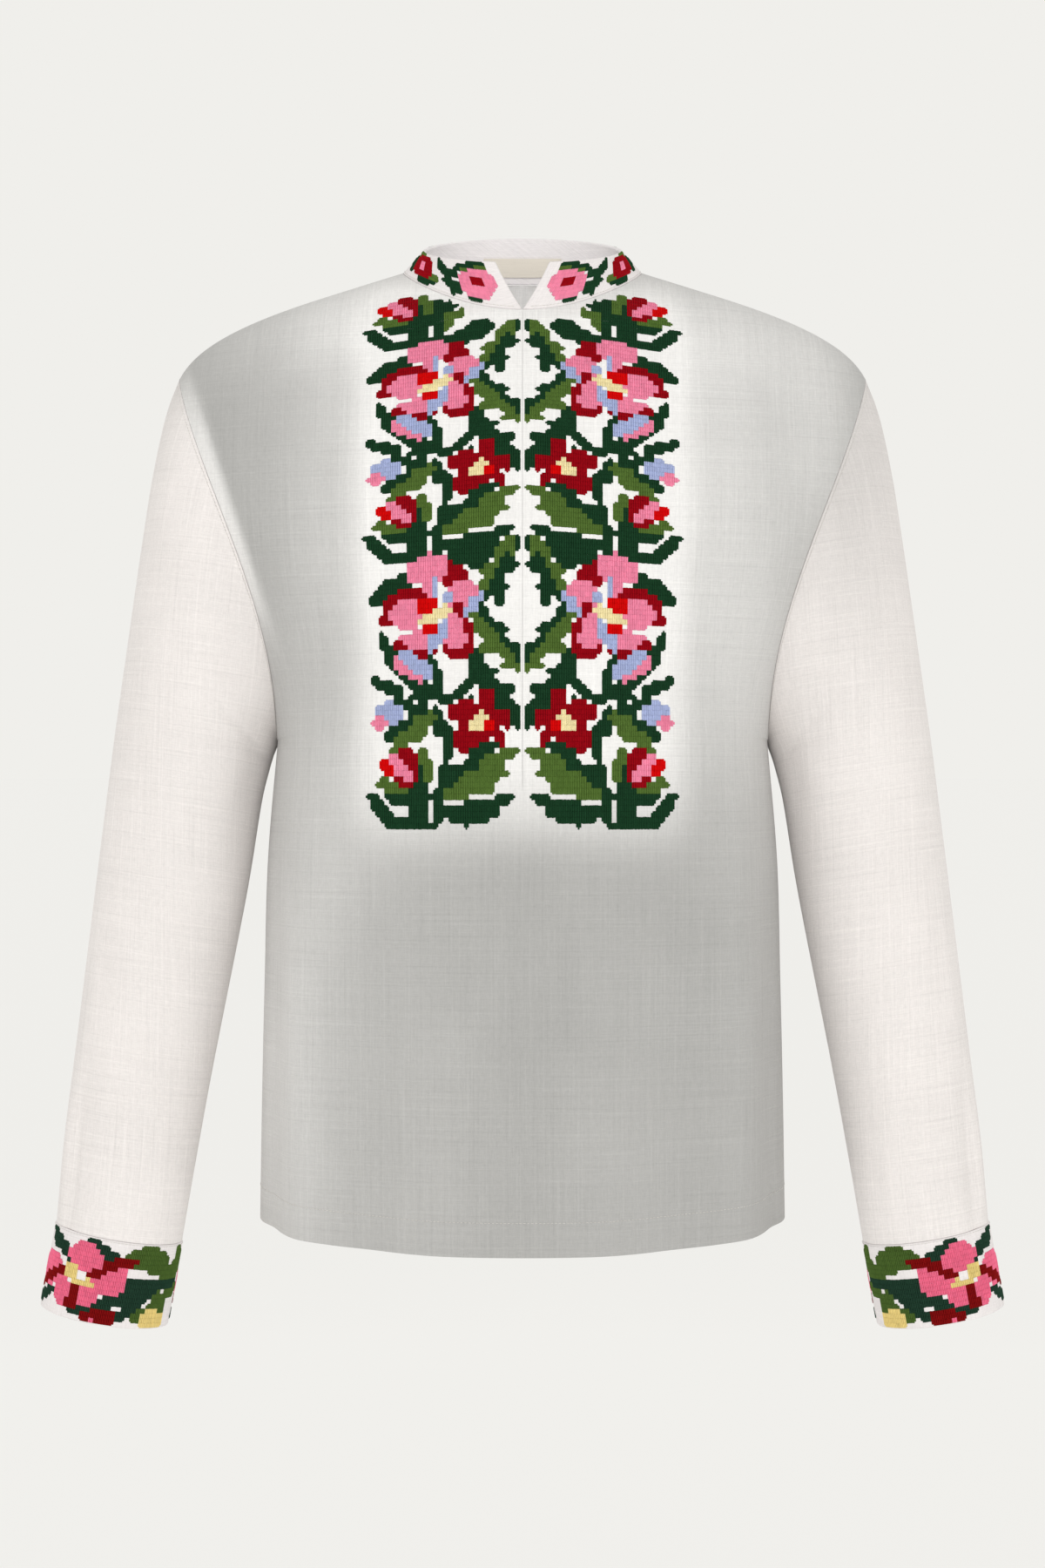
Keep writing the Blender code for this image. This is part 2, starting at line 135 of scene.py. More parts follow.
# How a row leaves the middle line or neckline (out) and reaches the side or armhole (in).
Reach = namedtuple("Reach", "height out_x out_y out_z in_x depth in_z")
REACHES = (
    Reach(0.000, 0.118, 0.000, 0.000, 0.000, 0.082, 0.000),
    Reach(1.000, 0.112, 0.000, 0.000, 0.000, 0.080, 0.000),
    Reach(1.067, 0.112, 0.000, -0.001, 0.001, 0.073, -0.001),
    Reach(1.200, 0.110, 0.000, -0.004, 0.006, 0.069, -0.003),
    Reach(1.350, 0.105, 0.000, -0.006, 0.018, 0.083, -0.006),
    Reach(1.500, 0.098, -0.002, -0.008, 0.034, 0.102, -0.010),
    Reach(1.733, 0.080, -0.014, -0.010, 0.034, 0.068, -0.024),
    Reach(2.000, RIDGE_OUT.x, RIDGE_OUT.y, RIDGE_OUT.z, RIDGE_IN.x, 0.000, RIDGE_IN.z),
)

# Sleeve rings seen from the front: the two ends of each ring, its half depth and its middle.
SleeveRing = namedtuple("SleeveRing", "along outer_x outer_z inner_x inner_z half_depth middle_y bow")
SLEEVE_TABLE = (
    SleeveRing(0.000, 0.2430, -0.0725, 0.1735, -0.3300, 0.0640, 0.0000, ARMHOLE_BOW),
    SleeveRing(0.080, 0.2530, -0.1000, 0.1737, -0.3305, 0.0680, 0.0000, 0.008),
    SleeveRing(0.160, 0.2620, -0.1420, 0.1740, -0.3320, 0.0690, 0.0000, 0.004),
    SleeveRing(0.240, 0.2695, -0.1900, 0.1745, -0.3340, 0.0680, -0.0005, 0.001),
    SleeveRing(0.320, 0.2767, -0.2400, 0.1755, -0.3370, 0.0660, -0.0010, 0.000),
    SleeveRing(0.400, 0.2838, -0.2900, 0.1772, -0.3420, 0.0630, -0.0015, 0.000),
    SleeveRing(0.460, 0.2888, -0.3260, 0.1795, -0.3500, 0.0605, -0.0025, 0.000),
    SleeveRing(0.520, 0.2930, -0.3600, 0.1848, -0.3720, 0.0580, -0.0035, 0.000),
    SleeveRing(0.640, 0.3003, -0.4218, 0.1953, -0.4380, 0.0530, -0.0070, 0.000),
    SleeveRing(0.780, 0.3144, -0.5453, 0.2188, -0.5616, 0.0460, -0.0150, 0.000),
    SleeveRing(0.890, 0.3218, -0.6092, 0.2299, -0.6255, 0.0415, -0.0200, 0.000),
    SleeveRing(1.000, 0.3262, -0.6659, 0.2390, -0.6812, 0.0380, -0.0250, 0.000),
)

# Label inside the back of the collar.
LABEL_HALF_ANGLE = 22.5
LABEL_LOW, LABEL_HIGH = 0.15, 0.56  # shares of the collar's height
LABEL_WALL = 0.0006
LABEL_LIFT, LABEL_BULGE = 0.0003, 0.0004  # off the collar at its edges, and more in its middle

# Soft folds of the body. across is 0 at the middle line and 1 at the side seam; a negative depth
# is a trough.
BodyFold = namedtuple("BodyFold", "across width depth top_z full_z")
FRONT_FOLDS = (
    BodyFold(0.16, 0.070, 0.0016, -0.380, -0.600),
    BodyFold(0.34, 0.080, -0.0030, -0.330, -0.640),
    BodyFold(0.57, 0.085, 0.0042, -0.180, -0.620),
    BodyFold(0.76, 0.070, -0.0030, -0.300, -0.600),
)
BACK_FOLDS = (
    BodyFold(0.10, 0.070, -0.0020, -0.300, -0.600),
    BodyFold(0.30, 0.080, 0.0038, -0.220, -0.620),
    BodyFold(0.52, 0.075, -0.0034, -0.280, -0.640),
    BodyFold(0.74, 0.080, 0.0036, -0.250, -0.620),
)

# Sleeve folds. angle is round the sleeve in degrees, 0 outside and 90 in front.
SleeveFold = namedtuple("SleeveFold", "angle width depth start full end")
SLEEVE_FOLDS = (
    SleeveFold(44.0, 9.0, -0.0034, 0.740, 0.900, 1.060),
    SleeveFold(28.0, 10.0, 0.0016, 0.740, 0.900, 1.060),
    SleeveFold(150.0, 16.0, -0.0022, 0.200, 0.420, 0.700),
    SleeveFold(215.0, 18.0, -0.0026, 0.180, 0.460, 0.800),
    SleeveFold(310.0, 16.0, 0.0020, 0.500, 0.800, 1.050),
)

# Creases of the cloth, finer than the solids' folds: soft troughs and ridges from one place to
# another. On the body a place is (x, z) and x is to the wearer's left.
Crease = namedtuple("Crease", "x z to_x to_z width depth bend")
FRONT_CREASES = (
    Crease(0.003, -0.385, 0.000, -0.668, 0.0090, -0.0011, 0.000),
    Crease(0.142, -0.140, 0.130, -0.330, 0.0150, -0.0026, 0.010),
    Crease(-0.138, -0.150, -0.133, -0.350, 0.0160, -0.0028, -0.012),
    Crease(0.152, -0.330, 0.118, -0.440, 0.0110, -0.0012, 0.006),
    Crease(-0.155, -0.340, -0.112, -0.470, 0.0120, -0.0014, -0.008),
    Crease(-0.118, -0.090, -0.128, -0.560, 0.0140, 0.0016, 0.006),
    Crease(0.124, -0.120, 0.132, -0.500, 0.0160, 0.0013, -0.006),
    Crease(-0.064, -0.420, -0.052, -0.664, 0.0180, -0.0014, 0.003),
    Crease(0.078, -0.450, 0.066, -0.664, 0.0160, -0.0012, -0.004),
    Crease(0.160, -0.470, 0.150, -0.655, 0.0110, 0.0012, 0.004),
    Crease(-0.162, -0.430, -0.154, -0.650, 0.0120, 0.0014, -0.003),
    Crease(0.150, -0.060, 0.186, -0.110, 0.0100, -0.0012, 0.004),
    Crease(-0.146, -0.062, -0.190, -0.118, 0.0110, -0.0013, -0.004),
)
BACK_CREASES = (
    Crease(0.000, -0.030, 0.004, -0.250, 0.0120, -0.0012, 0.004),
    Crease(0.138, -0.130, 0.124, -0.350, 0.0160, -0.0028, 0.012),
    Crease(-0.142, -0.120, -0.128, -0.330, 0.0150, -0.0025, -0.010),
    Crease(0.096, -0.080, 0.070, -0.300, 0.0140, 0.0012, 0.010),
    Crease(-0.088, -0.070, -0.074, -0.270, 0.0150, 0.0014, -0.008),
    Crease(0.150, -0.330, 0.096, -0.420, 0.0110, -0.0016, 0.006),
    Crease(-0.152, -0.340, -0.110, -0.410, 0.0100, -0.0013, -0.006),
    Crease(0.046, -0.380, 0.060, -0.660, 0.0170, 0.0015, 0.004),
    Crease(-0.030, -0.440, -0.036, -0.660, 0.0150, -0.0014, -0.003),
    Crease(-0.110, -0.400, -0.122, -0.655, 0.0160, 0.0016, 0.005),
    Crease(0.128, -0.430, 0.138, -0.650, 0.0130, -0.0012, -0.004),
)
# On a sleeve a place is (round from the outer line towards the front, down from the armhole).
SLEEVE_CREASES = (
    Crease(0.075, 0.180, 0.165, 0.216, 0.0120, -0.0016, 0.010),
    Crease(0.110, 0.258, 0.170, 0.240, 0.0100, -0.0014, 0.006),
    Crease(0.060, 0.312, 0.140, 0.288, 0.0110, 0.0011, -0.008),
    Crease(-0.080, 0.198, -0.165, 0.228, 0.0130, -0.0018, 0.010),
    Crease(-0.050, 0.276, -0.140, 0.264, 0.0110, -0.0015, 0.006),
    Crease(-0.030, 0.336, -0.120, 0.360, 0.0120, 0.0012, -0.006),
    Crease(0.034, 0.384, 0.030, 0.582, 0.0080, 0.0010, 0.004),
    Crease(0.080, 0.456, 0.086, 0.594, 0.0070, -0.0010, -0.003),
    Crease(-0.060, 0.420, -0.052, 0.591, 0.0080, -0.0012, 0.004),
    Crease(-0.020, 0.492, -0.018, 0.594, 0.0060, 0.0009, 0.002),
    Crease(0.020, 0.036, 0.045, 0.156, 0.0130, -0.0012, 0.006),
    Crease(-0.024, 0.036, -0.050, 0.144, 0.0130, -0.0012, -0.006),
)
SLEEVE_LENGTH = 0.60
RIGHT_SCALE, RIGHT_SHIFT = 0.92, 0.006  # how the right sleeve's creases differ from the left's
SLEEVE_CREASES_FROM, SLEEVE_CREASES_TO = 0.06, 0.985  # shares of the sleeve where they are full
BODY_CREASES_TO = 0.94  # share of the way out from the middle line

# How each crease runs, as shares of its length and of its width.
CREASE_TAIL = 0.12  # how far it goes past its ends
CREASE_FULL_FROM, CREASE_FULL_TO = 0.30, 0.72
CREASE_START_WIDTH, CREASE_SPREAD = 0.7, 0.6

# Seams.
SEAM_TURNING = 0.0032  # how far the cloth is turned in where two pieces are sewn together
SLIT_TURNING = 0.0010
UNDERARM_DEPTH, UNDERARM_WIDTH = 0.0005, 2.0  # metres, and degrees round the sleeve

# The strip of cloth behind the slit.
FACING_HALF_WIDTH, FACING_BEHIND = 0.011, 0.0014
FACING_BELOW = 0.008  # how far it goes on below the slit
FACING_SHARES = (-1.0, -0.5, 0.0, 0.5, 1.0)  # where its points are across its half width


# ---- Form -----------------------------------------------------------------------------------


def sample(table, key):
    """The table's columns at key, on a smooth curve through its rows. Its first column is the key."""
    keys = [row[0] for row in table]
    rising = keys[-1] > keys[0]
    last = len(table) - 2
    i = next((k for k in range(last) if (key < keys[k + 1]) == rising), last)
    before, here, there, after = (table[max(0, min(k, len(table) - 1))] for k in range(i - 1, i + 3))
    step = there[0] - here[0]
    u = (key - here[0]) / step
    values = []
    for a, b, c, d in zip(before[1:], here[1:], there[1:], after[1:]):
        slope_here = (c - a) / (there[0] - before[0]) * step
        slope_there = (d - b) / (after[0] - here[0]) * step
        values.append(
            (2 * u**3 - 3 * u**2 + 1) * b
            + (u**3 - 2 * u**2 + u) * slope_here
            + (3 * u**2 - 2 * u**3) * c
            + (u**3 - u**2) * slope_there
        )
    return values


def ease(low, high, value):
    """0 at low, 1 at high and smooth between, for low and high in either order."""
    u = max(0.0, min(1.0, (value - low) / (high - low)))
    return u * u * (3 - 2 * u)


def hump(value, middle, width):
    return math.exp(-(((value - middle) / width) ** 2))


def walk(points):
    """Metres from the first of the points to each of them."""
    return list(accumulate(((b - a).length for a, b in zip(points, points[1:])), initial=0.0))


def crease(marks, x, z):
    """How far the creases in marks lift the cloth at (x, z)."""
    total = 0.0
    for mark in marks:
        run_x, run_z = mark.to_x - mark.x, mark.to_z - mark.z
        length = math.hypot(run_x, run_z)
        off_x, off_z = x - mark.x, z - mark.z
        t = (off_x * run_x + off_z * run_z) / length**2
        if not -CREASE_TAIL < t < 1 + CREASE_TAIL:
            continue
        side = (off_x * run_z - off_z * run_x) / length - mark.bend * 4 * t * (1 - t)
        swell = ease(-CREASE_TAIL, CREASE_FULL_FROM, t) * ease(1 + CREASE_TAIL, CREASE_FULL_TO, t)
        width = mark.width * (CREASE_START_WIDTH + CREASE_SPREAD * t)
        total += mark.depth * swell * hump(side, 0, width)
    return total


def neck_point(angle):
    """Neckline at angle degrees from the middle of the front, on the +X side up to 180."""
    a = math.radians(angle)
    depth = NECK_FRONT_DEPTH if math.cos(a) > 0 else NECK_BACK_DEPTH
    dip = NECK_DIP * ((1 + math.cos(a)) / 2) ** NECK_DIP_POWER
    z = NECK_BACK_Z - dip + NECK_SIDE_RISE * math.sin(a) ** 2
    return Vector((NECK_HALF_WIDTH * math.sin(a), -depth * math.cos(a), z))


def collar_top_point(angle):
    a = math.radians(angle)
    depth = COLLAR_TOP_FRONT_DEPTH if math.cos(a) > 0 else COLLAR_TOP_BACK_DEPTH
    z = COLLAR_TOP_BACK_Z - COLLAR_TOP_DIP * (1 + math.cos(a)) / 2
    return Vector((COLLAR_TOP_HALF_WIDTH * math.sin(a), -depth * math.cos(a), z))


def collar_point(share, angle):
    """Outer face of the collar: share is 0 at the neckline and 1 at the top edge."""
    foot, top = neck_point(angle), collar_top_point(angle)
    rise = (top - foot).normalized() * SEAM
    return foot + rise + (top - foot - rise) * share


def collar_inward(share, angle):
    """Unit vector from the collar's outer face to the neck."""
    step = 0.5
    across = collar_point(share, angle + step) - collar_point(share, angle - step)
    up = collar_top_point(angle) - neck_point(angle)
    return up.cross(across).normalized()


def collar_opening(share):
    """Degrees from the middle of the front to the collar's edge."""
    return max(COLLAR_V_ANGLE * share, math.degrees(SLIT_HALF_GAP / NECK_HALF_WIDTH))


def collar_angle(share, angle):
    """Where the neck's angle from 0 to 360 falls on the collar, whose front is open."""
    opening = collar_opening(share)
    return opening + angle * (1 - opening / 180)


def arm_angles():
    """Angles round the armhole from the armpit (180) to the shoulder (0)."""
    coarse = [180 - COARSE_STEP * i for i in range(int((180 - PIT_ANGLE) / COARSE_STEP))]
    return coarse + [PIT_ANGLE - FINE_STEP * i for i in range(int(PIT_ANGLE / FINE_STEP) + 1)]


def neck_angle(arm_angle):
    """Neckline angle of the row that reaches the armhole at arm_angle."""
    return 90 * (1 - arm_angle / PIT_ANGLE)


def neck_angles():
    quarter = [neck_angle(a) for a in arm_angles() if a <= PIT_ANGLE]
    half = quarter + [180 - a for a in reversed(quarter[:-1])]
    return half + [360 - a for a in reversed(half[:-1])]


def sleeve_point(along, angle):
    """Sleeve's outer face on the +X side: angle is 0 outside, 90 in front and 180 inside."""
    outer_x, outer_z, inner_x, inner_z, half_depth, middle_y, bow = sample(SLEEVE_TABLE, along)
    outer, inner = Vector((outer_x, 0, outer_z)), Vector((inner_x, 0, inner_z))
    a = math.radians(angle)
    middle, half = (outer + inner) / 2, (outer - inner) / 2
    point = middle + half * math.cos(a)
    point.x -= bow * math.sin(a) ** 2 * (1 - math.cos(a))
    point.y = middle_y - half_depth * math.sin(a)
    return point


def sleeve_fold(along, angle):
    total = 0.0
    for fold in SLEEVE_FOLDS:
        turn = (angle - fold.angle + 180) % 360 - 180
        swell = ease(fold.start, fold.full, along) * ease(fold.end, fold.full, along)
        total += fold.depth * swell * hump(turn, 0, fold.width)
    return total


def sleeve_outward(along, angle):
    """Unit vector away from the ring's middle, square to the ring's oval."""
    outer_x, outer_z, inner_x, inner_z, half_depth, _, _ = sample(SLEEVE_TABLE, along)
    half = Vector((outer_x - inner_x, 0, outer_z - inner_z)) / 2
    a = math.radians(angle)
    direction = half.normalized() * (math.cos(a) / half.length)
    direction.y = -math.sin(a) / half_depth
    return direction.normalized()


def ring_angles():
    """Angles round the sleeve, closed, and the same points as the front and back armholes."""
    half = list(reversed(arm_angles()))
    return half + [360 - a for a in reversed(half[:-1])]


def sleeve_shift():
    """How far the sleeve stands off the armhole: between square to the seam and along the ridge."""
    first = SLEEVE_TABLE[0]
    along = Vector((first.outer_x - first.inner_x, 0, first.outer_z - first.inner_z)).normalized()
    square = Vector((along.z, 0, -along.x))
    return (square + RIDGE_IN.normalized()).normalized() * SEAM


def sleeve_rows(side):
    """Closed rings of points from the armhole to the cuff seam. side is 1 on the wearer's left."""
    rows = []
    for i in range(SLEEVE_RINGS + 1):
        along = i / SLEEVE_RINGS
        points = [sleeve_point(along, a) for a in ring_angles()]
        rounds = walk(points)
        ends = ease(0.0, SLEEVE_CREASES_FROM, along) * ease(1.0, SLEEVE_CREASES_TO, along)
        row = []
        for point, angle, metres in zip(points, ring_angles(), rounds):
            if angle > 180:
                metres -= rounds[-1]
            where = metres if side > 0 else metres * RIGHT_SCALE + RIGHT_SHIFT
            lift = sleeve_fold(along, angle)
            lift += ends * crease(SLEEVE_CREASES, where, along * SLEEVE_LENGTH)
            lift -= ends * UNDERARM_DEPTH * hump(abs(angle - 180), 0, UNDERARM_WIDTH)
            row.append(point + sleeve_outward(along, angle) * lift + sleeve_shift())
        rows.append(row)
    return rows


def cuff_axis():
    """Unit vector down the cuff, square to its seam as seen from the front."""
    last = SLEEVE_TABLE[-1]
    across = Vector((last.outer_x - last.inner_x, 0, last.outer_z - last.inner_z)).normalized()
    return Vector((across.z, -CUFF_FORWARD, -across.x)).normalized()


def cuff_point(share, angle):
    """Outer face of the +X cuff: share is 0 at its seam and 1 at its edge."""
    down = sleeve_shift() + cuff_axis() * (SEAM + CUFF_LENGTH * share)
    return sleeve_point(1, angle) + sleeve_outward(1, angle) * CUFF_PROUD + down


def panel_ends(height, facing):
    """Both ends of a panel's row on the +X side. facing is -1 for the front and 1 for the back."""
    if height <= 1:
        centre_z, side_z, half_width, front, back = sample(BODY_ROWS_TABLE, height)
        depth = front if facing < 0 else back
        return Vector((0, facing * depth, centre_z)), Vector((half_width, 0, side_z))
    arm_angle = 180 * (2 - height)
    outer = sleeve_point(0, -facing * arm_angle)
    if arm_angle <= PIT_ANGLE:
        angle = neck_angle(arm_angle)
        return neck_point(angle if facing < 0 else 180 - angle), outer
    z, depth = sample(FRONT_CENTRE if facing < 0 else BACK_CENTRE, arm_angle)
    return Vector((0, facing * depth, z)), outer


def panel_point(height, across, facing):
    """Outer face of a panel: height is 0 at the hem, 1 at the armpit and 2 at the shoulder seam."""
    start, end = panel_ends(height, facing)
    out_x, out_y, out_z, in_x, depth, in_z = sample(REACHES, height)
    leave = start + Vector((out_x, -facing * out_y, out_z))
    arrive = Vector((end.x - in_x, facing * depth, end.z - in_z))
    u, w = across, 1 - across
    return start * w**3 + leave * (3 * w * w * u) + arrive * (3 * w * u * u) + end * u**3


def body_fold(point, across, facing, side):
    """Moves a point of a panel by its folds, creases and hem line, outwards on the whole."""
    lift = 0.0
    for fold in FRONT_FOLDS if facing < 0 else BACK_FOLDS:
        swell = ease(fold.top_z, fold.full_z, point.z)
        lift += fold.depth * swell * hump(across, fold.across, fold.width)
    edge = ease(1.0, BODY_CREASES_TO, across)
    lift += edge * crease(FRONT_CREASES if facing < 0 else BACK_CREASES, side * point.x, point.z)
    return Vector((point.x / 2, point.y, 0)).normalized() * lift


def panel_rows(facing, side):
    """Half of the front (facing -1) or back (facing 1), from the hem to the shoulder seam."""
    heights = [i / BODY_ROWS for i in range(BODY_ROWS)]
    heights += [2 - a / 180 for a in arm_angles()]
    rows = []
    for height in heights:
        row = []
        for j in range(HALF_COLUMNS + 1):
            across = j / HALF_COLUMNS
            point = panel_point(height, across, facing)
            point += body_fold(point, across, facing, side)
            point.y += facing * SEAM / 2
            row.append(point)
        in_slit = facing < 0 and row[0].z > SLIT_BOTTOM_Z
        row[0].x = max(row[0].x, SLIT_HALF_GAP if in_slit else 0.0)
        rows.append([Vector((side * p.x, p.y, p.z)) for p in row])
    return rows


# The direction across each seam at a point of the cloth, or None away from the seam.


def side_seam(point):
    return Vector((0, 1, 0)) if abs(point.y) < SEAM else None


def middle_line(point):
    return Vector((1, 0, 0)) if abs(point.x) < 2 * SLIT_HALF_GAP else None


def armhole_top(point):
    top = sleeve_point(0, 0)
    if abs(point.x) < top.x - SHOULDER_POINT_WIDTH or point.z < top.z - SHOULDER_POINT_HEIGHT:
        return None
    return Vector((math.copysign(RIDGE_IN.x, point.x), 0, RIDGE_IN.z)).normalized()


def cuff_seam(point):
    if point.z > SLEEVE_TABLE[-1].outer_z + CUFF_PROUD:
        return None
    axis = cuff_axis()
    return Vector((math.copysign(axis.x, point.x), axis.y, axis.z))


def arm_grid(rows, side):
    """A sleeve's or a cuff's rows as the grid of the arm on this side."""
    return (rows, False, 1) if side > 0 else (mirrored(rows), True, -1)


def mirrored(rows):
    return [[Vector((-p.x, p.y, p.z)) for p in row] for row in rows]


# ---- Embroidery charts ----------------------------------------------------------------------
#
# Each design is drawn with blades and petals on squared paper and then counted out. Columns run
# out from the slit, round the cuff from its outer side or round the collar from its front edge,
# and rows run down.

# A leaf or stem along a curved rib: one colour and width on each side of it. Prongs, other than
# 0, gives it saw teeth and says where they start.
Blade = namedtuple("Blade", "column row to_column to_row bend one other one_width other_width prongs")
# A rounded spot, turned in degrees. An empty colour clears it to bare cloth.
Petal = namedtuple("Petal", "column row half_width half_height turn colour")

ROSEBUD = (
    Petal(22.4, 8.5, 4.5, 1.4, 0, "dark"),
    Petal(24.6, 6.6, 4.2, 1.0, 0, "leaf"),
    Petal(27.0, 5.8, 1.5, 1.3, 0, "leaf"),
    Petal(19.6, 4.8, 1.5, 3.8, 0, "dark"),
    Petal(19.2, 1.2, 1.1, 1.4, 0, "leaf"),
    Petal(17.9, 4.2, 1.1, 2.3, 0, "leaf"),
    Petal(22.6, 3.5, 3.0, 3.2, 0, "wine"),
    Petal(25.4, 3.3, 1.8, 2.0, 0, "red"),
    Petal(27.4, 3.0, 1.0, 1.2, 0, "red"),
    Petal(23.6, 3.6, 2.9, 1.3, -42, "pink"),
    Blade(30.0, 8.2, 24.6, 13.0, -0.8, "dark", "dark", 1.5, 1.6, 0),
    Blade(26.2, 12.9, 18.8, 12.8, -0.4, "dark", "dark", 1.3, 1.4, 0),
    Blade(19.0, 13.4, 18.6, 8.6, 0.0, "dark", "dark", 1.3, 1.2, 0),
    Petal(20.8, 11.2, 1.4, 1.2, 0, "dark"),
    Petal(18.0, 8.6, 1.0, 0.9, 0, "dark"),
    Petal(18.0, 13.6, 1.1, 0.9, 0, "dark"),
    Blade(16.4, 8.4, 16.4, 13.4, 0.0, "dark", "dark", 1.0, 1.1, 0),
)
SPRIG = (
    Petal(15.8, 6.8, 1.8, 4.6, 0, "dark"),
    Petal(13.3, 4.0, 1.1, 1.9, 0, "dark"),
    Blade(11.6, 5.6, 15.4, 10.6, 0.0, "leaf", "leaf", 1.6, 1.4, 2),
    Petal(8.2, 11.2, 2.8, 2.6, -12, "dark"),
    Petal(11.4, 12.6, 3.6, 1.9, -6, "dark"),
    Petal(15.0, 12.8, 3.2, 1.3, 0, "dark"),
    Petal(12.8, 10.7, 3.0, 0.6, 16, ""),
)
SPRAY = (
    Blade(21.0, 15.6, 29.4, 20.6, 0.6, "dark", "dark", 1.6, 2.1, 3),
    Blade(1.2, 10.6, 8.8, 23.4, 0.0, "leaf", "dark", 2.3, 3.0, 1),
    Petal(1.9, 11.9, 1.3, 1.7, 0, "leaf"),
    Blade(8.6, 23.8, 0.2, 34.4, 0.6, "leaf", "dark", 3.6, 2.1, 2),
    Petal(4.0, 22.0, 1.9, 0.7, 0, "dark"),
    Petal(8.4, 34.0, 1.5, 2.8, 0, "dark"),
    Blade(8.6, 35.0, 0.5, 46.0, 1.4, "dark", "dark", 2.2, 2.7, 2),
    Blade(8.6, 36.2, 15.0, 41.6, 1.2, "dark", "dark", 1.2, 1.3, 0),
    Petal(9.8, 42.4, 1.0, 2.2, 0, "dark"),
    Blade(27.6, 28.2, 13.6, 41.0, -4.6, "dark", "dark", 1.7, 1.8, 0),
    Blade(18.0, 31.6, 15.4, 40.0, 0.0, "dark", "dark", 1.3, 1.3, 0),
    Blade(29.8, 36.0, 18.0, 43.4, -0.8, "dark", "dark", 1.3, 1.4, 3),
    Petal(20.6, 41.4, 2.8, 1.7, 20, "dark"),
    Petal(22.4, 40.6, 0.6, 0.6, 0, ""),
    Petal(20.9, 41.7, 0.6, 0.6, 0, ""),
    Blade(16.8, 43.4, 26.8, 48.9, -1.0, "dark", "dark", 1.5, 1.5, 2),
    Blade(16.6, 43.0, 13.8, 51.0, 0.6, "dark", "dark", 1.6, 1.6, 2),
    Blade(17.2, 44.4, 24.8, 50.4, 0.0, "leaf", "leaf", 2.1, 2.0, 1),
    Petal(13.4, 16.2, 2.9, 3.6, 28, "wine"),
    Petal(18.0, 15.2, 4.5, 3.0, 8, "pink"),
    Petal(17.8, 19.4, 1.4, 2.8, 0, "pink"),
    Petal(22.4, 22.6, 5.1, 3.4, 10, "wine"),
    Petal(26.4, 25.0, 1.8, 1.2, 0, "wine"),
    Petal(21.4, 23.8, 4.5, 3.0, 8, "pink"),
    Petal(20.6, 30.6, 4.3, 2.0, -4, "wine"),
    Petal(20.2, 28.6, 3.7, 2.1, -6, "pink"),
    Petal(23.8, 27.2, 3.2, 0.6, 0, ""),
    Petal(11.2, 20.7, 3.3, 2.7, 10, "pink"),
    Petal(12.6, 24.4, 2.8, 1.6, 38, "wine"),
    Petal(11.9, 29.2, 3.1, 4.2, 6, "wine"),
    Petal(12.7, 27.8, 2.2, 3.7, 8, "pink"),
    Petal(8.9, 22.4, 2.7, 1.1, 48, "lilac"),
    Petal(14.0, 21.4, 1.7, 1.1, 45, "lilac"),
    Petal(16.5, 19.2, 0.9, 1.8, 0, "lilac"),
    Petal(16.1, 28.6, 1.4, 3.6, -33, "lilac"),
    Petal(18.1, 22.8, 2.2, 1.9, 0, "red"),
    Petal(17.5, 26.8, 1.5, 1.5, 0, "red"),
    Petal(16.4, 24.4, 3.5, 1.2, 28, "yellow"),
    Petal(22.9, 33.4, 1.8, 2.2, 0, "pink"),
    Petal(21.2, 35.8, 3.0, 1.1, -32, "pink"),
    Petal(20.4, 33.9, 4.0, 1.6, -35, "lilac"),
    Petal(25.9, 43.6, 3.4, 2.2, 0, "lilac"),
    Petal(28.1, 45.4, 1.7, 1.3, 12, "pink"),
    Petal(6.6, 41.2, 1.8, 2.7, 0, "wine"),
    Petal(10.7, 43.5, 3.6, 2.1, 0, "wine"),
    Petal(9.4, 48.3, 3.8, 2.6, 0, "wine"),
    Petal(3.9, 45.0, 1.9, 2.5, 0, "wine"),
    Petal(5.0, 48.5, 2.3, 1.9, 0, "wine"),
    Petal(6.8, 45.2, 3.7, 3.2, 0, "wine"),
    Petal(3.4, 46.4, 0.6, 0.6, 0, ""),
    Petal(5.5, 49.4, 0.6, 1.3, 0, ""),
    Petal(8.0, 45.4, 1.3, 2.1, -33, "yellow"),
    Petal(6.1, 46.2, 1.2, 1.3, 0, "red"),
)
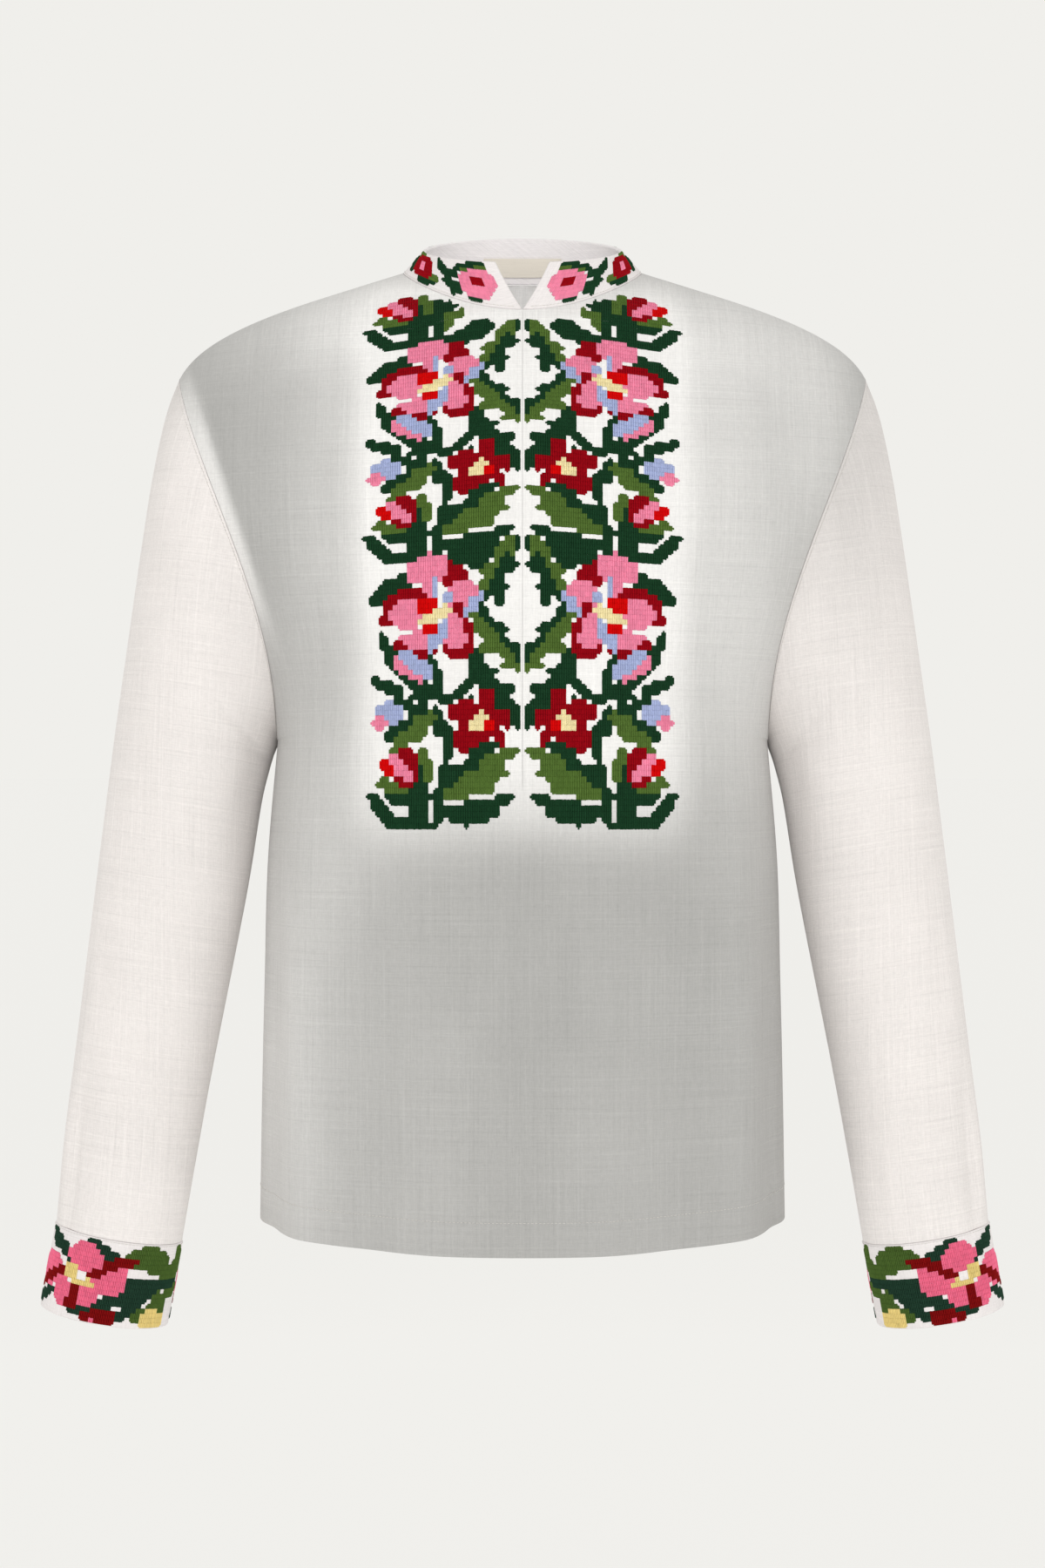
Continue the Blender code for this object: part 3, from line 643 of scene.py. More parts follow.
LONG_LEAF = (
    Petal(3.2, 8.5, 2.0, 0.8, 0, "dark"),
    Petal(7.6, 9.6, 5.2, 1.1, 0, "dark"),
    Petal(9.4, 11.0, 5.6, 1.2, 0, "dark"),
    Petal(10.2, 12.4, 3.9, 1.0, 0, "dark"),
    Petal(10.4, 13.6, 0.9, 0.8, 0, "dark"),
    Blade(16.6, 7.6, 15.8, 12.2, 0.0, "dark", "dark", 1.1, 1.1, 0),
    Blade(5.0, -0.8, 15.8, 7.4, 0.4, "dark", "dark", 1.7, 1.8, 1),
    Petal(14.2, 5.4, 2.3, 2.6, 0, "dark"),
    Petal(14.5, 2.4, 0.9, 1.6, 0, "dark"),
    Petal(2.4, 0.9, 2.1, 0.9, 0, "leaf"),
    Petal(5.4, 2.3, 2.2, 1.1, 0, "leaf"),
    Petal(5.2, 4.2, 3.8, 0.9, 0, "leaf"),
    Petal(7.0, 4.8, 4.3, 0.9, 0, "leaf"),
    Petal(9.9, 5.9, 2.7, 0.8, 0, "leaf"),
    Petal(9.2, 6.9, 4.5, 0.8, 0, "leaf"),
    Petal(7.6, 7.4, 3.0, 0.9, 0, "leaf"),
    Petal(12.6, 8.1, 2.3, 1.3, 0, "leaf"),
    Petal(8.2, 8.8, 2.4, 0.6, 0, ""),
    Petal(12.6, 9.8, 1.8, 0.6, 0, ""),
    Petal(15.2, 10.4, 0.6, 0.6, 0, ""),
)
CROWN = (Petal(17.7, 15.3, 3.7, 2.2, 8, "pink"),)
MIDDLE_LEAF = (
    Petal(9.8, 12.6, 4.6, 2.4, 0, "dark"),
    Petal(8.2, 14.4, 2.0, 1.4, 0, "dark"),
)
CUFF_FLOWERS = (
    Blade(3.0, 0.2, 9.0, 5.0, 0.0, "dark", "dark", 1.9, 1.7, 2),
    Blade(13.6, 0.6, 20.0, 3.8, 0.4, "dark", "dark", 1.8, 1.9, 2),
    Petal(26.0, 2.6, 4.6, 2.3, 0, "leaf"),
    Petal(31.0, 4.8, 5.4, 2.2, 0, "leaf"),
    Petal(34.2, 2.6, 1.7, 2.6, 0, "leaf"),
    Petal(31.4, 1.8, 0.9, 1.9, 0, ""),
    Petal(23.4, 9.9, 4.1, 3.3, 0, "dark"),
    Petal(31.0, 8.2, 4.6, 1.2, 0, "dark"),
    Petal(26.4, 9.0, 3.4, 1.9, 0, "dark"),
    Petal(26.8, 6.4, 2.7, 0.7, 16, ""),
    Blade(11.6, 15.2, 22.6, 11.8, 0.0, "dark", "dark", 1.5, 1.5, 1),
    Petal(23.4, 13.6, 1.2, 1.5, 0, "dark"),
    Blade(34.8, 8.8, 24.8, 15.2, 0.0, "leaf", "leaf", 2.0, 1.9, 3),
    Petal(30.2, 9.4, 0.6, 0.6, 0, ""),
    Petal(33.4, 11.9, 1.0, 0.8, 0, ""),
    Petal(28.8, 15.4, 3.2, 2.1, 0, "yellow"),
    Petal(18.2, 15.7, 4.5, 1.8, -12, "wine"),
    Petal(22.0, 14.9, 1.2, 1.2, 0, "dark"),
    Petal(16.6, 16.4, 0.9, 0.6, 0, "pink"),
    Petal(4.4, 8.4, 4.4, 3.2, 0, "pink"),
    Petal(13.0, 4.2, 3.7, 3.2, 0, "pink"),
    Petal(14.6, 6.4, 2.4, 1.5, 0, "pink"),
    Petal(18.2, 8.8, 3.7, 2.5, -8, "pink"),
    Petal(20.6, 6.4, 1.8, 1.0, 0, "pink"),
    Petal(14.4, 11.4, 2.5, 2.5, 0, "pink"),
    Petal(8.9, 12.0, 2.1, 2.7, 0, "pink"),
    Blade(23.6, 3.0, 14.8, 7.2, 0.0, "wine", "wine", 1.3, 1.4, 1),
    Blade(9.0, 7.2, 0.2, 12.8, 0.0, "wine", "wine", 1.2, 1.2, 0),
    Petal(12.0, 10.4, 1.1, 3.4, 0, "wine"),
    Petal(11.4, 13.6, 1.9, 1.1, 0, "wine"),
    Petal(10.4, 7.5, 1.7, 1.5, 0, "yellow"),
    Petal(13.6, 9.2, 2.2, 0.9, 0, "yellow"),
    Petal(13.1, 7.6, 1.4, 1.0, 0, ""),
    Blade(6.2, 12.8, 0.2, 15.4, 0.0, "dark", "dark", 1.4, 1.3, 0),
)
COLLAR_FLOWERS = (
    Petal(8.2, 9.1, 1.7, 0.8, 0, "dark"),
    Petal(5.6, 0.9, 2.6, 1.0, 8, "dark"),
    Petal(9.6, 2.0, 2.6, 1.1, 14, "dark"),
    Petal(4.6, 1.9, 1.9, 0.8, 0, "leaf"),
    Petal(8.3, 3.1, 2.2, 0.9, 0, "leaf"),
    Petal(12.2, 4.2, 1.9, 1.3, 0, "dark"),
    Blade(16.4, 0.2, 13.2, 9.6, 0.6, "dark", "dark", 1.4, 1.3, 2),
    Petal(12.2, 7.6, 1.7, 1.4, 0, "dark"),
    Petal(5.2, 3.4, 3.0, 1.4, 0, "pink"),
    Petal(6.9, 5.1, 4.6, 2.0, 0, "pink"),
    Petal(7.4, 7.1, 3.4, 1.7, 0, "pink"),
    Petal(6.7, 5.3, 1.6, 1.1, 0, "wine"),
    Petal(18.1, 7.0, 1.5, 1.2, 0, "leaf"),
    Petal(19.4, 8.4, 1.5, 0.9, 0, "dark"),
    Petal(25.4, 0.7, 2.6, 1.1, 0, "leaf"),
    Petal(21.8, 8.9, 2.2, 1.2, 0, "dark"),
    Petal(28.2, 4.9, 1.4, 3.2, 0, "dark"),
    Petal(23.2, 4.6, 4.3, 3.9, 0, "wine"),
    Petal(23.2, 4.5, 1.2, 1.3, 0, "pink"),
)
# Which design starts at which row of the bib.
BIB_ORDER = (
    (SPRAY, 0), (SPRIG, 0), (ROSEBUD, 0), (LONG_LEAF, 50), (SPRAY, 50), (LONG_LEAF, 50), (ROSEBUD, 50),
    (LONG_LEAF, 100), (ROSEBUD, 100), (MIDDLE_LEAF, 50), (CROWN, 0), (CROWN, 50),
)
BIB_COLUMNS, BIB_ROWS = 31, 115
CUFF_COLUMNS, CUFF_CHART_ROWS, CUFF_REPEAT = 75, 17, 37
COLLAR_COLUMNS, COLLAR_CHART_ROWS, COLLAR_REPEATS = 66, 10, 2

RIB_STEPS = 48
RIB_END = 0.8  # squares past a blade's ends that it may fill
TAPER_FROM, TAPER_SPAN, TAPER_POWER = 0.12, 0.80, 0.7  # the stretch of a sine that a blade follows
PRONG_ROWS, PRONG_LONG, PRONG_SHORT = 4, 1.22, 0.70
PETAL_POWER = 2.3  # 2 is an ellipse, and more is squarer


def count_blade(cells, blade, right, down):
    """Fills the squares within the blade's width of its rib, a curve from one end to the other."""
    dx, dy = blade.to_column - blade.column, blade.to_row - blade.row
    length = math.hypot(dx, dy)
    bend_x = (blade.column + blade.to_column) / 2 - dy / length * blade.bend
    bend_y = (blade.row + blade.to_row) / 2 + dx / length * blade.bend
    rib = []
    for i in range(RIB_STEPS + 1):
        t = i / RIB_STEPS
        a, b, c = (1 - t) ** 2, 2 * t * (1 - t), t * t
        rib.append((a * blade.column + b * bend_x + c * blade.to_column,
                    a * blade.row + b * bend_y + c * blade.to_row))
    reach = int(max(blade.one_width, blade.other_width)) + 3
    columns, rows = [p[0] for p in rib], [p[1] for p in rib]
    for row in range(math.floor(min(rows)) - reach, math.ceil(max(rows)) + reach):
        for column in range(math.floor(min(columns)) - reach, math.ceil(max(columns)) + reach):
            x, y = column + 0.5, row + 0.5
            i = min(range(RIB_STEPS + 1), key=lambda k: (rib[k][0] - x) ** 2 + (rib[k][1] - y) ** 2)
            (x0, y0), (x1, y1) = rib[max(0, i - 1)], rib[min(RIB_STEPS, i + 1)]
            step = math.hypot(x1 - x0, y1 - y0)
            tx, ty = (x1 - x0) / step, (y1 - y0) / step
            off_x, off_y = x - rib[i][0], y - rib[i][1]
            side = tx * off_y - ty * off_x
            if abs(tx * off_x + ty * off_y) > RIB_END:
                continue
            taper = math.sin(math.pi * (TAPER_FROM + TAPER_SPAN * i / RIB_STEPS)) ** TAPER_POWER
            width = (blade.one_width if side < 0 else blade.other_width) * taper
            if blade.prongs:
                long_row = (row + blade.prongs) % PRONG_ROWS < PRONG_ROWS / 2
                width *= PRONG_LONG if long_row else PRONG_SHORT
            if abs(side) <= width:
                cells[(column + right, row + down)] = blade.one if side < 0 else blade.other


def count_petal(cells, petal, right, down):
    """Fills or clears the squares inside the petal's outline."""
    turn = math.radians(petal.turn)
    reach = int(max(petal.half_width, petal.half_height)) + 2
    for row in range(int(petal.row) - reach, int(petal.row) + reach + 1):
        for column in range(int(petal.column) - reach, int(petal.column) + reach + 1):
            x, y = column + 0.5 - petal.column, row + 0.5 - petal.row
            u = abs(x * math.cos(turn) + y * math.sin(turn)) / petal.half_width
            v = abs(y * math.cos(turn) - x * math.sin(turn)) / petal.half_height
            if u**PETAL_POWER + v**PETAL_POWER > 1:
                continue
            if petal.colour:
                cells[(column + right, row + down)] = petal.colour
            else:
                cells.pop((column + right, row + down), None)


def chart(order, columns, rows):
    """{(column, row): colour} of the designs in order, each with how far right and down it goes."""
    cells = {}
    for design, right, down in order:
        for shape in design:
            count = count_blade if isinstance(shape, Blade) else count_petal
            count(cells, shape, right, down)
    return {at: c for at, c in cells.items() if 0 <= at[0] < columns and 0 <= at[1] < rows}


def bib_chart():
    return chart([(design, 0, down) for design, down in BIB_ORDER], BIB_COLUMNS, BIB_ROWS)


def cuff_chart():
    order = [(CUFF_FLOWERS, CUFF_REPEAT * i, 0) for i in (-1, 0, 1, 2)]
    return chart(order, CUFF_COLUMNS, CUFF_CHART_ROWS)


def collar_chart():
    repeat = COLLAR_COLUMNS // COLLAR_REPEATS
    order = [(COLLAR_FLOWERS, repeat * i, 0) for i in range(COLLAR_REPEATS)]
    return chart(order, COLLAR_COLUMNS, COLLAR_CHART_ROWS)


# ---- Node trees -----------------------------------------------------------------------------


class Value:
    """A socket that carries a number. Its operators add Math nodes."""

    def __init__(self, nodes, socket):
        self.nodes, self.socket = nodes, socket

    def math(self, operation, *values):
        inputs = dict(enumerate(values))
        return Value(self.nodes, self.nodes.add("ShaderNodeMath", {"operation": operation}, inputs))

    def __add__(self, other):
        return self.math("ADD", self, other)

    def __sub__(self, other):
        return self.math("SUBTRACT", self, other)

    def __rsub__(self, other):
        return self.math("SUBTRACT", other, self)

    def __mul__(self, other):
        return self.math("MULTIPLY", self, other)

    __radd__ = __add__
    __rmul__ = __mul__


class Nodes:
    """Adds nodes to a tree."""

    def __init__(self, tree):
        self.tree = tree

    def feed(self, socket, value):
        value = value.socket if isinstance(value, Value) else value
        if isinstance(value, bpy.types.NodeSocket):
            self.tree.links.new(value, socket)
        else:
            socket.default_value = value

    def add(self, kind, settings=None, inputs=None, output=0):
        """Adds a node of this kind, sets it, feeds its inputs and returns one of its outputs."""
        node = self.tree.nodes.new(kind)
        for name, value in (settings or {}).items():
            setattr(node, name, value)
        for key, value in (inputs or {}).items():
            self.feed(node.inputs[key], value)
        return node.outputs[output] if node.outputs else node


class Finish(Nodes):
    """A material on one shader. fixed holds the shader's sockets that are the same all over."""

    def __init__(self, name, fixed):
        self.material = bpy.data.materials.new(name)
        self.material.use_nodes = True
        super().__init__(self.material.node_tree)
        self.shader = self.tree.nodes["Principled BSDF"]
        for socket, value in fixed.items():
            self.shader.inputs[socket].default_value = value

    def value(self, *arguments, **options):
        return Value(self, self.add(*arguments, **options))

    def across_up(self):
        """The piece's own cloth coordinates, in metres across and up."""
        uv = self.add("ShaderNodeUVMap", {"uv_map": CLOTH_MAP})
        parts = self.add("ShaderNodeSeparateXYZ", None, {0: uv}).node.outputs
        return Value(self, parts[0]), Value(self, parts[1])

    def noise(self, x, y, layer, detail=2.0):
        """Noise over x and y. Each layer is another pattern."""
        place = self.add("ShaderNodeCombineXYZ", None, {0: x, 1: y, 2: layer})
        inputs = {"Vector": place, "Scale": 1.0, "Detail": detail, "Roughness": 0.5}
        return self.value("ShaderNodeTexNoise", None, inputs)

    def ramp(self, value, low, high, to_low=0.0, to_high=1.0):
        """Goes smoothly from to_low to to_high while value goes from low to high."""
        settings = {"interpolation_type": "SMOOTHSTEP"}
        inputs = {0: value, 1: low, 2: high, 3: to_low, 4: to_high}
        return self.value("ShaderNodeMapRange", settings, inputs)

    def mix(self, factor, one, other):
        """A colour between two. The node's sockets share their names, so they go by number."""
        settings = {"data_type": "RGBA"}
        return self.add("ShaderNodeMix", settings, {0: factor, 6: one, 7: other}, output=2)

    def shade(self, colour, value):
        """colour made lighter or darker by a value that is 1 where nothing changes."""
        settings = {"operation": "SCALE"}
        return self.add("ShaderNodeVectorMath", settings, {0: colour, "Scale": value})

    def finish(self, colour, roughness, height, distance, strength):
        inputs = {"Height": height, "Distance": distance, "Strength": strength}
        self.feed(self.shader.inputs["Base Color"], colour)
        self.feed(self.shader.inputs["Roughness"], roughness)
        self.feed(self.shader.inputs["Normal"], self.add("ShaderNodeBump", None, inputs))
        return self.material


def linear(colour):
    """A screen colour (sRGB) as the shader's own."""
    values = (c / 12.92 if c < 0.04045 else ((c + 0.055) / 1.055) ** 2.4 for c in colour)
    return (*values, 1.0)


# ---- Finishes -------------------------------------------------------------------------------

CLOTH_MAP = "cloth"
PAINTED_SHADE_ATTRIBUTE = "shade"  # painted light and shade: how far the cloth is from its darker to its whiter colour
THREAD_ATTRIBUTE = "thread_colour"

# Each finish's tone and roughness start at a level, and each pattern changes them by its share.

# Linen. The yarns' own frequency is one a pitch.
ALONG_YARN = 0.12  # how fast the weave changes along a yarn, against across it
SLUB_ACROSS = 0.42  # a slub's frequency across it, against a yarn's
WARP_SLUBS, WEFT_SLUBS = 13.0, 11.0  # slubs a metre along their yarns
SLUB_FROM, SLUB_FULL = 0.52, 0.74  # levels of the noise where a yarn grows thick
GAP_FROM, GAP_FULL = 0.46, 0.24  # and where it grows thin
CLOUDS = 16.0  # soft patches a metre
LINEN_TONE, WEAVE_TONE, SLUB_TONE, CLOUD_TONE = 0.94, 0.16, 0.5, 0.12
LINEN_ROUGH, CLOUD_ROUGH = 0.84, 0.12
WEAVE_HEIGHT, SLUB_HEIGHT = 0.5, 3.0
YARN_RELIEF, WEAVE_BUMP = 0.6, 0.45  # height of the weave in pitches, and its strength

# Thread. Frequencies across and along a stitch, and a metre over the embroidery.
PLIES, PLY_SLANT, PLY_ALONG = 7.0, 2.6, 1.3
PLY_CHANGE, DYE_PATCHES = 300.0, 140.0
END_SHADE_SHARE, END_SHADE = 0.12, 0.86  # painted shade at a stitch's ends, where it dips between rows: the stretch that is darker, and how dark
THREAD_TONE, PLY_TONE, DYE_TONE = 0.80, 0.22, 0.20
THREAD_ROUGH, PLY_ROUGH = 0.50, 0.22
THREAD_RELIEF, THREAD_BUMP = 0.0002, 0.5

# Label tape. Frequencies a metre.
RIBS_ACROSS, RIBS_UP = 40.0, 1100.0
TAPE_YARNS_ACROSS, TAPE_YARNS_UP = 2400.0, 500.0
TAPE_PATCHES = 60.0
TAPE_TONE, RIB_TONE, TAPE_YARN_TONE, PATCH_TONE = 0.86, 0.14, 0.08, 0.06
TAPE_ROUGH, TAPE_YARN_ROUGH = 0.46, 0.2
TAPE_RELIEF, TAPE_BUMP = 0.00015, 0.4


def make_linen(name, darker, whiter, yarn, slub):
    """Plain-woven linen: fine yarns both ways, longer thick slubs, and a soft unevenness.

    yarn is the pitch of the yarns in metres, and slub how strongly the thick ones show.
    """
    look = Finish(name, {"Specular IOR Level": 0.25, "Sheen Weight": 0.12, "Sheen Roughness": 0.5})
    across, up = look.across_up()
    fine = 1 / yarn
    warp = look.noise(across * fine, up * (fine * ALONG_YARN), 1.7, detail=1.0)
    weft = look.noise(across * (fine * ALONG_YARN), up * fine, 4.1, detail=1.0)
    warp_slub = look.noise(across * (fine * SLUB_ACROSS), up * WARP_SLUBS, 7.3)
    weft_slub = look.noise(across * WEFT_SLUBS, up * (fine * SLUB_ACROSS), 9.9)
    slubs = look.ramp(warp_slub, SLUB_FROM, SLUB_FULL) + look.ramp(weft_slub, SLUB_FROM, SLUB_FULL)
    gaps = look.ramp(warp_slub, GAP_FROM, GAP_FULL) + look.ramp(weft_slub, GAP_FROM, GAP_FULL)
    cloud = look.noise(across * CLOUDS, up * CLOUDS, 3.0, detail=3.0)
    weave = warp + weft
    tone = LINEN_TONE + (weave - 1.0) * WEAVE_TONE + (slubs - gaps) * (slub * SLUB_TONE)
    tone += cloud * CLOUD_TONE
    # Painted light and shade: the colour goes from darker to whiter by the piece's shade attribute.
    shade = look.value("ShaderNodeAttribute", {"attribute_name": PAINTED_SHADE_ATTRIBUTE}, output="Fac")
    colour = look.shade(look.mix(shade, linear(darker), linear(whiter)), tone)
    rough = LINEN_ROUGH + (cloud - 0.5) * CLOUD_ROUGH
    height = weave * WEAVE_HEIGHT + slubs * slub * SLUB_HEIGHT
    return look.finish(colour, rough, height, yarn * YARN_RELIEF, WEAVE_BUMP)


def make_thread():
    """Twisted embroidery thread, in the colour that each stitch carries."""
    look = Finish("embroidery_thread", {"Specular IOR Level": 0.04})
    across, along = look.across_up()
    place = look.add("ShaderNodeTexCoord", output="Object")
    parts = look.add("ShaderNodeSeparateXYZ", None, {0: place}).node.outputs
    x, z = Value(look, parts["X"]), Value(look, parts["Z"])
    twist = across * PLIES + along * PLY_SLANT
    ply = look.noise(twist, along * PLY_ALONG, x * PLY_CHANGE, detail=1.0)
    dye = look.noise(x * DYE_PATCHES, z * DYE_PATCHES, 2.0)
    # Painted shade: each stitch darker towards its ends.
    ends = look.ramp(along * (1.0 - along), 0.0, END_SHADE_SHARE, END_SHADE, 1.0)
    colour = look.add("ShaderNodeAttribute", {"attribute_name": THREAD_ATTRIBUTE})
    tone = (THREAD_TONE + ply * PLY_TONE + dye * DYE_TONE) * ends
    rough = THREAD_ROUGH + ply * PLY_ROUGH
    return look.finish(look.shade(colour, tone), rough, ply, THREAD_RELIEF, THREAD_BUMP)


def make_label_satin(name, colour):
    """Woven label tape: fine ribs across it and a soft gloss."""
    look = Finish(name, {"Specular IOR Level": 0.45, "Sheen Weight": 0.2})
    across, up = look.across_up()
    rib = look.noise(across * RIBS_ACROSS, up * RIBS_UP, 8.0, detail=1.0)
    yarn = look.noise(across * TAPE_YARNS_ACROSS, up * TAPE_YARNS_UP, 1.0)
    patches = look.noise(across * TAPE_PATCHES, up * TAPE_PATCHES, 5.0)
    tone = TAPE_TONE + rib * RIB_TONE + yarn * TAPE_YARN_TONE + (patches - 0.5) * PATCH_TONE
    colour = look.shade(linear(colour)[:3], tone)
    rough = TAPE_ROUGH + yarn * TAPE_YARN_ROUGH
    return look.finish(colour, rough, rib + yarn, TAPE_RELIEF, TAPE_BUMP)


# ---- Cloth ----------------------------------------------------------------------------------

SHARP = math.radians(50)
WELD_DIGITS = 7  # points whose places round alike, in metres, are one
BEVEL_SEGMENTS = 2


def link(name, mesh):
    piece = bpy.data.objects.new(name, mesh)
    bpy.context.scene.collection.objects.link(piece)
    return piece


def grid_lengths(rows):
    """Metres across and up at each point of a grid of rows."""
    up = [walk(column) for column in zip(*rows)]
    return [walk(row) for row in rows], list(zip(*up))


def join_grids(grids, weave):
    """The grids' points, faces and faces' cloth coordinates, with points that meet made one."""
    index, faces, maps = {}, [], []
    for rows, flip, direction in grids:
        ids = [[index.setdefault(tuple(round(c, WELD_DIGITS) for c in p), len(index)) for p in row]
               for row in rows]
        across, up = grid_lengths(rows)
        for i, j in product(range(len(rows) - 1), range(len(rows[0]) - 1)):
            corners = [(i, j), (i, j + 1), (i + 1, j + 1), (i + 1, j)]
            if flip:
                corners.reverse()
            face = [ids[a][b] for a, b in corners]
            if len(set(face)) < 4:
                continue
            found = [(across[a][b], up[a][b]) for a, b in corners]
            if weave:
                found = [weave(rows[a][b], *uv) for (a, b), uv in zip(corners, found)]
            faces.append(face)
            maps.append([(direction * u, v) for u, v in found])
    return [Vector(p) for p in index], faces, maps


def inner_points(points, faces, rim, wall, seams):
    """Each point's place on the shell's inner face."""
    inward = [Vector() for _ in points]
    for face in faces:
        a, b, c, d = (points[i] for i in face)
        for i in face:
            inward[i] -= (c - a).cross(d - b)
    depth = [wall] * len(points)
    for i in sorted({i for side in rim for i in side}):
        for seam, turning in seams:
            across = seam(points[i])
            if across:
                inward[i] -= across * inward[i].dot(across)
                depth[i] = max(wall, turning)
    return [p + n.normalized() * d for p, n, d in zip(points, inward, depth)]


def make_cloth(name, grids, wall, finish, seams=(), shade=None, weave=None):
    """A thin closed shell whose outer face passes through each grid of rows of points.

    A grid is (rows, flip, direction), and direction is 1 or -1 for how its cloth coordinates run.
    A seam is (function, turning). The function gives the direction across the seam at a point on
    it. There the shell's edge runs square to that direction and is turned in by turning.
    shade is the painted light and shade of the outer face, and the inner face is white all over.
    weave gives a point's cloth coordinates from the point and its metres across and up the grid.
    """
    points, faces, maps = join_grids(grids, weave)
    sides = {(face[k], face[(k + 1) % 4]) for face in faces for k in range(4)}
    rim = sorted((a, b) for a, b in sides if (b, a) not in sides)
    count = len(points)
    inner = [[i + count for i in reversed(face)] for face in faces]
    edges = [(b, a, a + count, b + count) for a, b in rim]
    place = {i: uv for face, corners in zip(faces, maps) for i, uv in zip(face, corners)}
    maps += [list(reversed(corners)) for corners in maps]
    maps += [[place[b], place[a], place[a], place[b]] for a, b in rim]
    # Painted light and shade on the outer face; the inner face takes the whiter colour.
    painted_shades = [shade(p) if shade else 1.0 for p in points] + [1.0] * count

    points = points + inner_points(points, faces, rim, wall, seams)
    mesh = bpy.data.meshes.new(name)
    mesh.from_pydata(points, [], faces + inner + edges)
    layer = mesh.uv_layers.new(name=CLOTH_MAP)
    layer.data.foreach_set("uv", [c for corners in maps for uv in corners for c in uv])
    mesh.attributes.new(PAINTED_SHADE_ATTRIBUTE, "FLOAT", "POINT").data.foreach_set("value", painted_shades)
    mesh.materials.append(finish)
    mesh.shade_smooth()
    mesh.set_sharp_from_angle(angle=SHARP)
    return link(name, mesh)


def soften(piece):
    """Rounds the edges of a doubled band."""
    bevel = piece.modifiers.new("soft_edges", "BEVEL")
    bevel.width = BAND_ROUNDING
    bevel.segments = BEVEL_SEGMENTS
    bevel.limit_method = "ANGLE"
    bevel.angle_limit = SHARP
    plain(piece)


def plain(piece):
    """Turns a piece's modifiers into its mesh."""
    graph = bpy.context.evaluated_depsgraph_get()
    evaluated = piece.evaluated_get(graph)
    mesh = bpy.data.meshes.new_from_object(evaluated, preserve_all_data_layers=True,
                                           depsgraph=graph)
    piece.modifiers.clear()
    piece.data = mesh
    mesh.name = piece.name


# ---- Stitches -------------------------------------------------------------------------------

# A stitch from one point on the cloth to another. out points away from the cloth.
Stitch = namedtuple("Stitch", "start end out width height colour")
STITCH_PROFILE = ((-0.50, 0.06), (0.0, 1.0), (0.50, 0.06))  # across it and up, in its own size
STITCH_STATIONS = (  # a place along it, and its width and height there
    (-0.50, 0.80, 0.36),
    (-0.38, 1.0, 0.92),
    (0.38, 1.0, 0.92),
    (0.50, 0.80, 0.36),
)
FATNESS, FATNESS_UNEVEN = 1.0, 0.06
THREAD_UNEVEN = 0.07  # how much the thread's tone differs from stitch to stitch
STITCH_SLIP = 0.04  # rows that a stitch's ends may stray
CORNER = 0.34  # share of a stitch left out at the corner of a shape
STITCH_STRETCH = 0.13  # share of its length that a stitch reaches past its cell
SAME_PLACE = 1e-9  # metres between points that a line is not followed between
BIB_SEED, COLLAR_SEED, CUFF_SEED, TOPSTITCH_SEED = 11, 31, 51, 71


def stitch_form():
    """One raised stitch, a unit long and wide: rounded across, and blunt and lower at its ends."""
    points = [(x * wide, y, z * high) for y, wide, high in STITCH_STATIONS for x, z in STITCH_PROFILE]
    count, sides = len(points), len(STITCH_PROFILE)
    faces = [tuple(range(sides)), tuple(range(count - 1, count - 1 - sides, -1))]
    for i in range(0, count - sides, sides):
        faces += [(i + k, i + k + sides, i + (k + 1) % sides + sides, i + (k + 1) % sides)
                  for k in range(sides)]
    mesh = bpy.data.meshes.new("stitch_form")
    mesh.from_pydata(points, [], faces)
    shape = bmesh.new()
    shape.from_mesh(mesh)
    bmesh.ops.recalc_face_normals(shape, faces=shape.faces)
    shape.to_mesh(mesh)
    shape.free()
    layer = mesh.uv_layers.new(name=CLOTH_MAP)
    for loop in mesh.loops:
        x, y, _ = mesh.vertices[loop.vertex_index].co
        layer.data[loop.index].uv = (x + 0.5, y + 0.5)
    mesh.shade_smooth()
    return link("stitch_form", mesh)


